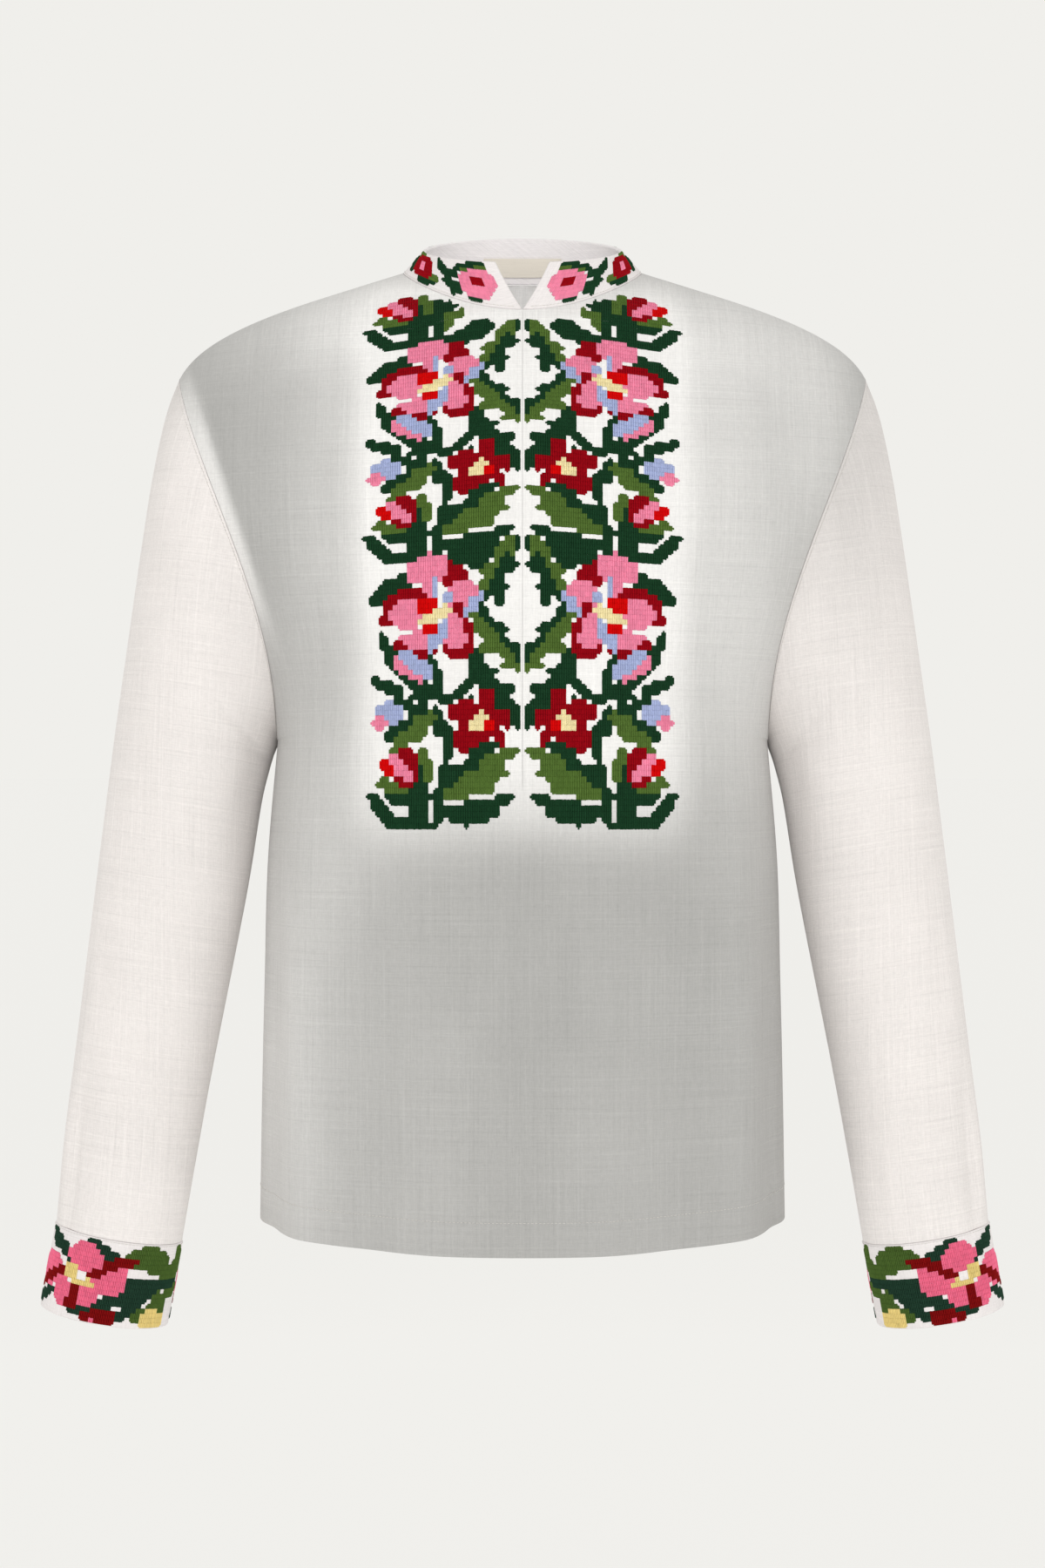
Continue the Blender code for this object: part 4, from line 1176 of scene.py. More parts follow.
def stitch_tree():
    """Lays the stitch form on each point, along the point's own directions and in its own size."""
    tree = bpy.data.node_groups.new("satin_stitches", "GeometryNodeTree")
    sockets = (
        ("Geometry", "Geometry", None),
        ("Stitch form", "Object", None),
        ("Finish", "Material", None),
        ("Fatness", "Float", FATNESS),
        ("Unevenness", "Float", FATNESS_UNEVEN),
        ("Seed", "Int", 1),
    )
    for name, kind, value in sockets:
        socket = tree.interface.new_socket(name, in_out="INPUT", socket_type=f"NodeSocket{kind}")
        if value is not None:
            socket.default_value = value
    tree.interface.new_socket("Geometry", in_out="OUTPUT", socket_type="NodeSocketGeometry")
    nodes = Nodes(tree)
    given = nodes.add("NodeGroupInput").node.outputs
    form = nodes.add("GeometryNodeObjectInfo", None, {"Object": given["Stitch form"]}).node
    vector = {"data_type": "FLOAT_VECTOR"}
    along, out, size = (nodes.add("GeometryNodeInputNamedAttribute", vector, {"Name": name})
                        for name in ("along", "out", "size"))
    upright = nodes.add("FunctionNodeAlignRotationToVector", {"axis": "Z"}, {"Vector": out})
    turned = nodes.add(
        "FunctionNodeAlignRotationToVector",
        {"axis": "Y", "pivot_axis": "Z"},
        {"Rotation": upright, "Vector": along},
    )
    fatness, uneven = Value(nodes, given["Fatness"]), Value(nodes, given["Unevenness"])
    draws = []
    for offset in (0, 1):
        seed = Value(nodes, given["Seed"]) + offset
        inputs = {2: fatness - uneven, 3: fatness + uneven, "Seed": seed}
        draws.append(nodes.add("FunctionNodeRandomValue", {"data_type": "FLOAT"}, inputs, output=1))
    uneven_size = nodes.add("ShaderNodeCombineXYZ", None, {0: draws[0], 1: 1.0, 2: draws[1]})
    scale = nodes.add("ShaderNodeVectorMath", {"operation": "MULTIPLY"}, {0: size, 1: uneven_size})
    laid = nodes.add(
        "GeometryNodeInstanceOnPoints",
        None,
        {
            "Points": given["Geometry"],
            "Instance": form.outputs["Geometry"],
            "Rotation": turned,
            "Scale": scale,
        },
    )
    real = nodes.add("GeometryNodeRealizeInstances", None, {"Geometry": laid})
    inputs = {"Geometry": real, "Material": given["Finish"]}
    finished = nodes.add("GeometryNodeSetMaterial", None, inputs)
    nodes.add("NodeGroupOutput", None, {"Geometry": finished})
    return tree


def sew(name, stitches, finish, seed):
    """One piece made of all the stitches."""
    mesh = bpy.data.meshes.new(name)
    mesh.from_pydata([(s.start + s.end) / 2 for s in stitches], [], [])
    vectors = {
        "along": [(s.end - s.start).normalized() for s in stitches],
        "out": [s.out for s in stitches],
        "size": [(s.width, (s.end - s.start).length, s.height) for s in stitches],
    }
    for attribute, values in vectors.items():
        layer = mesh.attributes.new(attribute, "FLOAT_VECTOR", "POINT")
        layer.data.foreach_set("vector", [c for value in values for c in value])
    layer = mesh.attributes.new(THREAD_ATTRIBUTE, "FLOAT_COLOR", "POINT")
    layer.data.foreach_set("color", [c for s in stitches for c in s.colour])
    piece = link(name, mesh)
    form = stitch_form()
    modifier = piece.modifiers.new("stitches", "NODES")
    modifier.node_group = stitch_tree()
    sockets = {item.name: item.identifier for item in modifier.node_group.interface.items_tree
               if item.in_out == "INPUT"}
    modifier[sockets["Stitch form"]] = form
    modifier[sockets["Finish"]] = finish
    modifier[sockets["Seed"]] = seed
    plain(piece)
    bpy.data.objects.remove(form)
    for attribute in vectors:
        left = piece.data.attributes.get(attribute)
        if left:
            piece.data.attributes.remove(left)
    if not piece.data.polygons:
        raise RuntimeError(f"{name} has no stitches")
    return piece


def at_metres(line, metres, where):
    """(place, out) on a line of such pairs, whose distances are metres, or None past its end."""
    if len(line) < 2 or where < metres[0] or where > metres[-1]:
        return None
    i = min(bisect_right(metres, where), len(line) - 1)
    t = (where - metres[i - 1]) / max(SAME_PLACE, metres[i] - metres[i - 1])
    (a, a_out), (b, b_out) = line[i - 1], line[i]
    return a.lerp(b, t), a_out.lerp(b_out, t).normalized()


def dyed(name, draw):
    """A thread colour, a little uneven from stitch to stitch."""
    colour = linear(getattr(bpy.context.scene.shirt_embroidery, name))
    tone = 1 + draw.uniform(-1, 1) * THREAD_UNEVEN
    return tuple(c * tone for c in colour[:3]) + (1.0,)


def shortened(cells, column, row, k, threads):
    """Shares of a stitch left out at its top and bottom, which rounds the corners of a shape."""
    beside = [step for step, last in ((-1, 0), (1, threads - 1)) if k == last]
    bare = any((column + step, row) not in cells for step in beside)
    return [CORNER * (bare and (column, row + step) not in cells) for step in (-1, 1)]


def embroider(cells, place, draw, prefix=""):
    """Satin stitches over the chart's cells. place gives (point, out) at a column and a row."""
    sizes = bpy.context.scene.shirt_embroidery
    threads = sizes.threads_per_cell
    stitches = []
    for (column, row), name in sorted(cells.items()):
        for k in range(threads):
            at = column + (k + 0.5) / threads
            above, below = shortened(cells, column, row, k, threads)
            shares = above - STITCH_STRETCH / 2, 1 - below + STITCH_STRETCH / 2
            top, bottom = (place(at, row + share + draw.uniform(-1, 1) * STITCH_SLIP)
                           for share in shares)
            side = place(at + 0.5 / threads, row + 0.5), place(at - 0.5 / threads, row + 0.5)
            if not all((top, bottom, *side)):
                continue
            width = (side[0][0] - side[1][0]).length * sizes.overlap
            out = (top[1] + bottom[1]).normalized()
            thread = dyed(prefix + name, draw)
            stitches.append(Stitch(top[0], bottom[0], out, width, sizes.height, thread))
    return stitches


def stitch_along(points, outs, thread):
    """A line of plain stitches, each a share of the pitch long."""
    metres = walk(points)
    line = list(zip(points, outs))
    count = max(1, round(metres[-1] / TOPSTITCH_PITCH))
    step = metres[-1] / count
    stitches = []
    for i in range(count):
        start = at_metres(line, metres, (i + (1 - TOPSTITCH_SHARE) / 2) * step)
        end = at_metres(line, metres, (i + (1 + TOPSTITCH_SHARE) / 2) * step)
        if start and end:
            stitches.append(Stitch(start[0], end[0], start[1], TOPSTITCH_WIDTH, TOPSTITCH_HEIGHT,
                                   thread))
    return stitches


# ---- Where the stitches lie -----------------------------------------------------------------

# A line between two rows of the bib's chart: its height a third of the way out, and how much it
# rises towards the slit.
RowLine = namedtuple("RowLine", "row z rise")
BIB_LINES = (
    RowLine(0.0, -0.0205, 0.138),
    RowLine(4.0, -0.0320, 0.136),
    RowLine(12.0, -0.0555, 0.131),
    RowLine(23.5, -0.0885, 0.121),
    RowLine(35.0, -0.1215, 0.111),
    RowLine(45.0, -0.1515, 0.098),
    RowLine(54.0, -0.1790, 0.080),
    RowLine(64.0, -0.2125, 0.049),
    RowLine(73.5, -0.2460, 0.028),
    RowLine(84.0, -0.2815, 0.012),
    RowLine(95.0, -0.3185, 0.001),
    RowLine(104.0, -0.3520, -0.002),
    RowLine(116.0, -0.3985, 0.000),
)
BIB_LINE_X = 0.0585  # where a line has its own height
BIB_CELL = 0.00355
BIB_NARROWING = 0.04  # how much narrower its columns are at the foot
BIB_START = 0.0014  # from the middle line to the first column
BIB_STEP = 0.0015  # how finely a line is followed
BIB_REACH = 0.124
IN_FRONT = 1.0  # metres in front of the shirt from which its face is found
COLLAR_CHART_TOP, COLLAR_CHART_SPAN = 0.97, 0.92  # shares of the collar's height, from its foot
COLLAR_START = 0.6  # degrees from the middle line to the first column
CUFF_CHART_TOP, CUFF_CHART_SPAN = 0.015, 0.97  # shares of the cuff's height, from its top
CUFF_START = 6.0  # degrees
RING_STEPS = 180
LAST_ROW = 1e-6  # rows short of the chart's foot, so that a row still follows


def cloth_face(piece):
    """The piece's faces, for finding points on it."""
    return BVHTree.FromPolygons(
        [v.co for v in piece.data.vertices], [list(p.vertices) for p in piece.data.polygons]
    )


def bib_place(face, side):
    """place(column, row) on the front's face; side is 1 on the wearer's left."""
    lines = []
    for row in range(BIB_ROWS + 1):
        z, rise = sample(BIB_LINES, row)
        found, metres = [], []
        for i in range(int(BIB_REACH / BIB_STEP)):
            x = (i + 0.5) * BIB_STEP
            eye = Vector((side * x, -IN_FRONT, z - rise * (x - BIB_LINE_X)))
            point, out, _, _ = face.ray_cast(eye, Vector((0, 1, 0)))
            if point is None or point.y > 0:
                found, metres = [], []
                continue
            if found:
                metres.append(metres[-1] + (point - found[-1][0]).length)
            else:
                metres.append(x - BIB_START)
            found.append((point, out))
        lines.append((found, metres))

    def place(column, row):
        row = max(0.0, min(BIB_ROWS - LAST_ROW, row))
        i = int(row)
        across = column * BIB_CELL * (1 - BIB_NARROWING * row / BIB_ROWS)
        ends = [at_metres(*lines[k], across) for k in (i, i + 1)]
        if not all(ends):
            return None
        (a, a_out), (b, b_out) = ends
        return a.lerp(b, row - i), a_out.lerp(b_out, row - i).normalized()

    return place


def ring_place(point_at, columns, rows, start, turn, facing):
    """place(column, row) round a band whose outer face is point_at(share down, angle).

    The angles go from start through turn. facing is 1 where the turn and the way down give a
    right-handed normal that points away from the band, and -1 where it points into it.
    """
    rings = []
    for row in range(rows + 1):
        angles = [start + turn * i / RING_STEPS for i in range(RING_STEPS + 1)]
        points = [point_at(row / rows, a) for a in angles]
        rings.append((points, walk(points)))

    def place(column, row):
        row = max(0.0, min(rows - LAST_ROW, row))
        i = int(row)
        found = []
        for points, metres in (rings[i], rings[i + 1]):
            where = metres[-1] * column / columns
            k = max(1, min(bisect_right(metres, where), RING_STEPS))
            t = (where - metres[k - 1]) / (metres[k] - metres[k - 1])
            found.append((points[k - 1].lerp(points[k], t), points[k] - points[k - 1]))
        (a, run), (b, _) = found
        return a.lerp(b, row - i), run.cross(b - a).normalized() * facing

    return place

# Plain stitches along the seams and hems.
TOPSTITCH_WIDTH, TOPSTITCH_HEIGHT = 0.00042, 0.00032
TOPSTITCH_PITCH, TOPSTITCH_SHARE = 0.0026, 0.72  # share of the pitch that a stitch covers
HEM_STITCH_UP = 0.018
ARMHOLE_STITCH = 0.012  # share of the sleeve's length, from the armhole
CUFF_STITCH = 0.02  # share of the cuff's height, from its top
COLLAR_STITCH = 0.06  # share of the collar's height, from its foot


def face_out(rows, i, j, flip):
    """Unit vector away from a panel's face at one point of its grid."""
    up = rows[min(i + 1, len(rows) - 1)][j] - rows[max(i - 1, 0)][j]
    across = rows[i][min(j + 1, len(rows[i]) - 1)] - rows[i][max(j - 1, 0)]
    return (up.cross(across) * flip).normalized()


def seam_lines():
    """(points, outs) of each plain line of stitches."""
    for facing, (side, _) in product((-1, 1), SIDES):
        rows = panel_rows(facing, side)
        foot = rows[0][0].z
        up = next(i for i, row in enumerate(rows) if row[0].z - foot > HEM_STITCH_UP)
        yield rows[up], [face_out(rows, up, j, facing * side) for j in range(len(rows[up]))]
    for side, _ in SIDES:
        flip = Vector((side, 1, 1))
        points = [cuff_point(CUFF_STITCH, a) for a in ring_angles()]
        outs = [sleeve_outward(1, a) for a in ring_angles()]
        yield [p * flip for p in points], [out * flip for out in outs]
        outs = [sleeve_outward(ARMHOLE_STITCH, a) for a in ring_angles()]
        points = [sleeve_point(ARMHOLE_STITCH, a) + out * sleeve_fold(ARMHOLE_STITCH, a)
                  for a, out in zip(ring_angles(), outs)]
        yield [p * flip for p in points], [out * flip for out in outs]
    angles = [collar_angle(COLLAR_STITCH, a) for a in neck_angles()[1:-1]]
    yield ([collar_point(COLLAR_STITCH, a) for a in angles],
           [-collar_inward(COLLAR_STITCH, a) for a in angles])


# ---- Sizes and colours a user may change ----------------------------------------------------


def size(name, description, default, low, high):
    return FloatProperty(name=name, description=description, default=default, min=low, max=high,
                         unit="LENGTH", precision=5)


def colour(name, description, *default):
    return FloatVectorProperty(name=name, description=description, default=default, size=3, min=0,
                               max=1, subtype="COLOR_GAMMA")


class ShirtCloth(bpy.types.PropertyGroup):
    wall: size("Cloth thickness", "Thickness of a single layer of the linen", 0.0007, 0.0002, 0.0015)
    yarn: size("Yarn pitch", "Distance between the yarns of the weave", 0.00056, 0.0002, 0.002)
    slub: FloatProperty(name="Slubs", description="How strongly the thick yarns show", default=0.11,
                        min=0, max=1, subtype="FACTOR")
    # Painted shade and light: the body's own linen is the white colour. The shaded one is painted
    # shade, and painted-light patches lift it towards white, most at the bib and shoulders.
    body_dark: colour("Body, shaded", "Linen of the body away from the bib", 0.692, 0.690, 0.683)
    body_white: colour("Body, white", "Linen of the bib and shoulders", 0.955, 0.950, 0.945)
    # Painted shadow: the sleeves' own linen is the low colour, and the high one is shadow painted on
    # their upper part.
    sleeve_high: colour("Sleeve, high", "Linen of the sleeves near the shoulders", 0.785, 0.772, 0.765)
    sleeve_low: colour("Sleeve, low", "Linen of the sleeves below the shoulders", 0.940, 0.920, 0.912)
    band: colour("Collar and cuffs", "Linen of the collar and cuffs", 0.945, 0.925, 0.925)
    # Painted light: the collar's back and inner face are painted whiter than the band.
    inside: colour("Inside the collar", "Linen of the collar's back", 0.965, 0.948, 0.952)
    label: colour("Label", "Woven label inside the neck", 0.930, 0.900, 0.850)


class ShirtEmbroidery(bpy.types.PropertyGroup):
    threads_per_cell: IntProperty(name="Threads per square", default=3, min=1, max=5,
                                  description="Stitches side by side in one square of the chart")
    overlap: FloatProperty(name="Overlap", default=1.16, min=0.6, max=1.6, subtype="FACTOR",
                           description="Width of a stitch against the distance to the next")
    height: size("Stitch height", "How far the satin stitches stand up", 0.0006, 0.0002, 0.002)
    dark: colour("Dark green", "Thread of the stems and dark leaves", 0.115, 0.265, 0.165)
    leaf: colour("Leaf green", "Thread of the light leaves", 0.360, 0.475, 0.215)
    pink: colour("Pink", "Thread of the large petals", 0.990, 0.590, 0.715)
    wine: colour("Wine red", "Thread of the dark petals", 0.635, 0.030, 0.090)
    red: colour("Red", "Thread of the buds and flower middles", 0.890, 0.030, 0.035)
    yellow: colour("Yellow", "Thread of the flower middles", 0.995, 0.940, 0.740)
    lilac: colour("Lilac", "Thread of the small buds", 0.720, 0.765, 0.915)
    cuff_dark: colour("Cuff dark green", "Thread of the cuffs' stems", 0.145, 0.260, 0.200)
    cuff_leaf: colour("Cuff leaf green", "Thread of the cuffs' leaves", 0.315, 0.420, 0.190)
    cuff_pink: colour("Cuff pink", "Thread of the cuffs' large petals", 0.980, 0.470, 0.605)
    cuff_wine: colour("Cuff wine red", "Thread of the cuffs' dark petals", 0.540, 0.060, 0.065)
    cuff_yellow: colour("Cuff yellow", "Thread of the cuffs' flower middles", 0.960, 0.870, 0.570)
    plain: colour("Sewing thread", "Thread of the plain seams and hems", 0.900, 0.890, 0.870)


class ShirtStage(bpy.types.PropertyGroup):
    distance: size("Camera distance", "From the shirt's side seams to the camera", 1.8, 0.5, 10)
    camera_height: size("Camera height", "The camera's own height", -0.3608, -3, 3)
    lens: FloatProperty(name="Lens", description="Focal length in millimetres", default=58.06,
                        min=10, max=300, unit="CAMERA")
    floor_drop: size("Floor", "How far the floor is below the shoulders", 1.25, 0.7, 3)
    backdrop: colour("Backdrop", "Floor and backdrop", 0.941, 0.937, 0.922)
    ambient: FloatProperty(name="Ambient", description="Strength of the even light", default=0.80,
                           min=0, max=5)
    front: FloatProperty(name="Front light", description="Power of the soft light over the camera",
                         default=9.0, min=0, max=1000, unit="POWER")
    neck: FloatProperty(name="Neck light", description="Power of the small light inside the neck",
                        default=0.045, min=0, max=10, unit="POWER")
    key: FloatProperty(name="Key light", description="Power of the main soft light", default=6.5,
                       min=0, max=1000, unit="POWER")
    fill: FloatProperty(name="Fill light", description="Power of the second soft light", default=4.0,
                        min=0, max=1000, unit="POWER")


# ---- Stage ----------------------------------------------------------------------------------


class Build:
    """What the operators share."""

    bl_options = {"REGISTER", "UNDO"}

    def execute(self, context):
        self.build(context.scene)
        return {"FINISHED"}


# A soft square light, with its power under its own name in the stage's sizes.
Softbox = namedtuple("Softbox", "name place aim width")
SHIRT_MIDDLE = (0, 0, -0.35)
SOFTBOXES = (
    Softbox("front", (0.0, -2.4, 0.05), SHIRT_MIDDLE, 1.3),
    Softbox("key", (-1.3, -1.9, 1.1), SHIRT_MIDDLE, 1.8),
    Softbox("fill", (1.5, -1.6, 0.3), SHIRT_MIDDLE, 1.6),
    Softbox("neck", (0, -0.03, -0.13), (0, 0.075, -0.025), 0.06),
)

FLOOR_FLAT = (0.02, 1.2)  # radii of its flat part
FLOOR_RADIUS, FLOOR_RISE = 3.2, 0.9  # how far it goes, and the radius at which it bends up
FLOOR_TURNS = 64
FLOOR_BENDS, FLOOR_BEND = 11, 9  # places in the bend, and the degrees between them
FLOOR_GREY = (0.10, 0.10, 0.10, 1.0)
FLOOR_GLOW = 0.885  # its own light, which keeps the backdrop even


class SHIRT_OT_stage(Build, bpy.types.Operator):
    """Sets up the camera, the lights, the floor and the backdrop"""

    bl_idname = "shirt.stage"
    bl_label = "Stage"

    def build(self, scene):
        sizes = scene.shirt_stage
        pale = linear(sizes.backdrop)
        self.camera(scene, sizes)
        self.backdrop(scene, pale, sizes.ambient)
        for box in SOFTBOXES:
            self.softbox(box, getattr(sizes, box.name))
        self.floor(pale, sizes.floor_drop)

    def camera(self, scene, sizes):
        data = bpy.data.cameras.new("camera")
        data.lens = sizes.lens
        camera = link("camera", data)
        camera.location = (0, -sizes.distance, sizes.camera_height)
        camera.rotation_euler = (math.radians(90), 0, 0)
        scene.camera = camera
        scene.view_settings.view_transform = "Standard"

    def backdrop(self, scene, pale, ambient):
        """A world that shows pale behind the shirt and lights it with the ambient strength."""
        scene.world = bpy.data.worlds.new("studio")
        scene.world.use_nodes = True
        tree = scene.world.node_tree
        tree.nodes.remove(tree.nodes["Background"])
        nodes = Nodes(tree)
        seen, lit = (nodes.add("ShaderNodeBackground", None, {"Color": pale, "Strength": strength})
                     for strength in (1.0, ambient))
        path = nodes.add("ShaderNodeLightPath").node.outputs["Is Camera Ray"]
        both = nodes.add("ShaderNodeMixShader", None, {0: path, 1: lit, 2: seen})
        tree.links.new(both, tree.nodes["World Output"].inputs["Surface"])

    def softbox(self, box, power):
        data = bpy.data.lights.new(f"{box.name}_light", "AREA")
        data.shape = "SQUARE"
        data.size = box.width
        data.energy = power
        lamp = link(data.name, data)
        lamp.location = box.place
        lamp.rotation_euler = (Vector(box.aim) - lamp.location).to_track_quat("-Z", "Y").to_euler()
        lamp.visible_camera = False

    def floor(self, pale, drop):
        """A round floor whose rim bends up. drop is how far it is below the shoulders."""
        bend = [math.radians(FLOOR_BEND * k) for k in range(FLOOR_BENDS)]
        foot = FLOOR_RADIUS - FLOOR_RISE
        profile = [(radius, 0.0) for radius in FLOOR_FLAT]
        profile += [(foot + FLOOR_RISE * math.sin(a), FLOOR_RISE - FLOOR_RISE * math.cos(a))
                    for a in bend]
        turns = [2 * math.pi * t / FLOOR_TURNS for t in range(FLOOR_TURNS)]
        points = [(r * math.cos(t), r * math.sin(t), z - drop) for r, z in profile for t in turns]
        faces = []
        for k, t in product(range(len(profile) - 1), range(FLOOR_TURNS)):
            near, far, beside = k * FLOOR_TURNS, (k + 1) * FLOOR_TURNS, (t + 1) % FLOOR_TURNS
            faces.append((far + t, far + beside, near + beside, near + t))
        faces.append(tuple(range(FLOOR_TURNS)))
        mesh = bpy.data.meshes.new("floor")
        mesh.from_pydata(points, [], faces)
        mesh.shade_smooth()
        look = Finish("floor", {"Roughness": 0.9, "Base Color": FLOOR_GREY, "Emission Color": pale,
                                "Emission Strength": FLOOR_GLOW})
        mesh.materials.append(look.material)
        link("floor", mesh)


# ---- Cloth pieces ---------------------------------------------------------------------------

# Painted light on the body's linen: a whiter patch about a place, where the light falls more. A higher
# power gives a harder edge.
Glow = namedtuple("Glow", "x z wide high power lift slant", defaults=(0.0,))
FRONT_PAINTED_LIGHT = (
    Glow(0.000, -0.203, 0.110, 0.190, 10, 1.00),
    Glow(-0.085, -0.120, 0.074, 0.145, 4, 0.42),
    Glow(-0.135, -0.035, 0.110, 0.045, 2, 0.38),
    Glow(-0.209, -0.166, 0.0090, 0.085, 4, 0.88, -0.340),
    Glow(-0.185, -0.130, 0.030, 0.090, 2, 0.06),
    Glow(-0.120, -0.360, 0.045, 0.100, 2, 0.30),
    Glow(-0.167, -0.560, 0.042, 0.180, 2, 0.52),
    Glow(-0.070, -0.600, 0.045, 0.150, 2, 0.13),
    Glow(0.125, -0.150, 0.062, 0.140, 2, 0.55),
    Glow(0.205, -0.110, 0.030, 0.090, 2, 0.34),
    Glow(0.150, -0.300, 0.050, 0.090, 2, 0.30),
    Glow(0.150, -0.040, 0.090, 0.050, 2, 0.38),
    Glow(0.070, -0.610, 0.045, 0.150, 2, 0.08),
    Glow(0.165, -0.500, 0.030, 0.200, 2, 0.12),
)
BACK_PAINTED_LIGHT = (
    Glow(0.000, -0.060, 0.200, 0.100, 2, 0.65),
    Glow(0.110, -0.340, 0.050, 0.280, 2, 0.30),
    Glow(-0.120, -0.360, 0.040, 0.260, 2, 0.25),
    Glow(0.000, -0.620, 0.300, 0.160, 4, 0.12),
    Glow(-0.190, -0.560, 0.035, 0.180, 2, 0.34),
)
# Painted shade: where a sleeve's linen shows darker, as shadow on the upper sleeve.
SLEEVE_PAINTED_SHADE = (
    Glow(0.222, -0.130, 0.036, 0.125, 2, 0.68),
    Glow(-0.235, -0.055, 0.030, 0.040, 2, 0.80),
)


COLLAR_PAINTED_LIGHT_FROM, COLLAR_PAINTED_LIGHT_FULL = -0.02, 0.03  # y where the collar grows whiter with painted light
BODY_ROUND_FROM, BODY_ROUND_FULL = -0.15, -0.33  # z where the body's yarns start to follow it
SLEEVE_RADIUS_HIGH, SLEEVE_NARROWING = 0.088, 0.046
SLEEVE_NARROW_FROM, SLEEVE_NARROW_FULL = -0.05, 0.50  # metres down the sleeve


def patch(spot, point):
    off_z = point.z - spot.z
    off_x = point.x - spot.x - spot.slant * off_z
    across, up = (abs(off / reach) ** spot.power
                  for off, reach in ((off_x, spot.wide), (off_z, spot.high)))
    return spot.lift * math.exp(-across - up)


# Painted light of the body: its patches summed, up to 1.
def painted_light(spots):
    return lambda point: min(1.0, sum(patch(spot, point) for spot in spots))


# Painted shade on a sleeve: 1 for its own linen, less under the painted shadows.
def sleeve_painted_shade_mask(point):
    return 1 - min(1.0, sum(patch(spot, point) for spot in SLEEVE_PAINTED_SHADE))


# Painted light: the collar's outer face grows whiter towards its back.
def collar_painted_light(point):
    return ease(COLLAR_PAINTED_LIGHT_FROM, COLLAR_PAINTED_LIGHT_FULL, point.y)


def body_weave(point, across, up):
    """The body's yarns run level and straight down, and follow its roundness below the arms."""
    low = ease(BODY_ROUND_FROM, BODY_ROUND_FULL, point.z)
    return abs(point.x) + (across - abs(point.x)) * low, point.z


def sleeve_weave(point, across, up):
    """A sleeve's yarns run down it, side by side with its outer line, and round it."""
    first, last = SLEEVE_TABLE[0], SLEEVE_TABLE[-1]
    top = Vector(((first.outer_x + first.inner_x) / 2, 0, (first.outer_z + first.inner_z) / 2))
    foot = Vector(((last.outer_x + last.inner_x) / 2, last.middle_y,
                   (last.outer_z + last.inner_z) / 2))
    axis = (foot - top).normalized()
    off = Vector((abs(point.x), point.y, point.z)) - top
    down = off.dot(axis)
    outer = Vector((-axis.z, 0, axis.x)).normalized()
    turn = math.atan2(-(off - axis * down).y, off.dot(outer))
    narrow = ease(SLEEVE_NARROW_FROM, SLEEVE_NARROW_FULL, down)
    radius = SLEEVE_RADIUS_HIGH - SLEEVE_NARROWING * narrow
    return turn * radius, down


def placed(piece, slot, *nodes):
    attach(piece, BODY)
    if nodes:
        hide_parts(*nodes)
    return piece


class SHIRT_OT_body(Build, bpy.types.Operator):
    """Makes the front and the back"""

    bl_idname = "shirt.body"
    bl_label = "Front and back"

    def build(self, scene):
        sizes = scene.shirt_cloth
        finish = make_linen("linen", sizes.body_dark, sizes.body_white, sizes.yarn, sizes.slub)
        seams = ((side_seam, SEAM_TURNING), (armhole_top, SEAM_TURNING),
                 (middle_line, SLIT_TURNING))
        for name, facing, spots in (("front", -1, FRONT_PAINTED_LIGHT), ("back", 1, BACK_PAINTED_LIGHT)):
            grids = [(panel_rows(facing, side), facing * side > 0, side) for side, _ in SIDES]
            piece = make_cloth(f"{name}_cloth", grids, sizes.wall, finish, seams, painted_light(spots),
                               body_weave)
            placed(piece, "linen", f"{name}_panel_left", f"{name}_panel_right")


class SHIRT_OT_facing(Build, bpy.types.Operator):
    """Makes the strip of cloth behind the slit"""

    bl_idname = "shirt.facing"
    bl_label = "Slit facing"

    def build(self, scene):
        sizes = scene.shirt_cloth
        finish = make_linen("facing_linen", sizes.band, sizes.band, sizes.yarn, sizes.slub)
        middle = FACING_SHARES.index(0.0)
        rows = []
        for left, right in zip(panel_rows(-1, 1), panel_rows(-1, -1)):
            if SLIT_BOTTOM_Z - FACING_BELOW < left[0].z and abs(left[0].x) < 2 * SLIT_HALF_GAP:
                row = []
                for share in FACING_SHARES:
                    start, beside = (left if share > 0 else right)[:2]
                    t = FACING_HALF_WIDTH * abs(share) / (beside - start).length
                    row.append(start.lerp(beside, t) + Vector((0, FACING_BEHIND, 0)))
                row[middle].x = 0.0
                rows.append(row)
        piece = make_cloth("slit_facing", [(rows, False, 1)], sizes.wall, finish)
        placed(piece, "linen")
        length = sum((b[middle] - a[middle]).length for a, b in zip(rows, rows[1:]))


class SHIRT_OT_sleeves(Build, bpy.types.Operator):
    """Makes both sleeves"""

    bl_idname = "shirt.sleeves"
    bl_label = "Sleeves"

    def build(self, scene):
        sizes = scene.shirt_cloth
        finish = make_linen("sleeve_linen", sizes.sleeve_high, sizes.sleeve_low, sizes.yarn,
                            sizes.slub)
        seams = ((armhole_top, SEAM_TURNING), (cuff_seam, SEAM_TURNING))
        for side, name in SIDES:
            piece = make_cloth(f"sleeve_{name}_cloth", [arm_grid(sleeve_rows(side), side)],
                               sizes.wall, finish, seams, sleeve_painted_shade_mask, sleeve_weave)
            placed(piece, "sleeve_linen", f"sleeve_{name}_front", f"sleeve_{name}_back")


class SHIRT_OT_cuffs(Build, bpy.types.Operator):
    """Makes both cuffs"""

    bl_idname = "shirt.cuffs"
    bl_label = "Cuffs"

    def build(self, scene):
        sizes = scene.shirt_cloth
        finish = make_linen("cuff_linen", sizes.band, sizes.band, sizes.yarn, sizes.slub)
        rows = [[cuff_point(i / CUFF_ROWS, a) for a in ring_angles()] for i in range(CUFF_ROWS + 1)]
        for side, name in SIDES:
            piece = make_cloth(f"cuff_{name}_cloth", [arm_grid(rows, side)], CUFF_WALL, finish,
                               ((cuff_seam, CUFF_WALL),))
            soften(piece)
            placed(piece, "sleeve_linen", f"cuff_{name}")


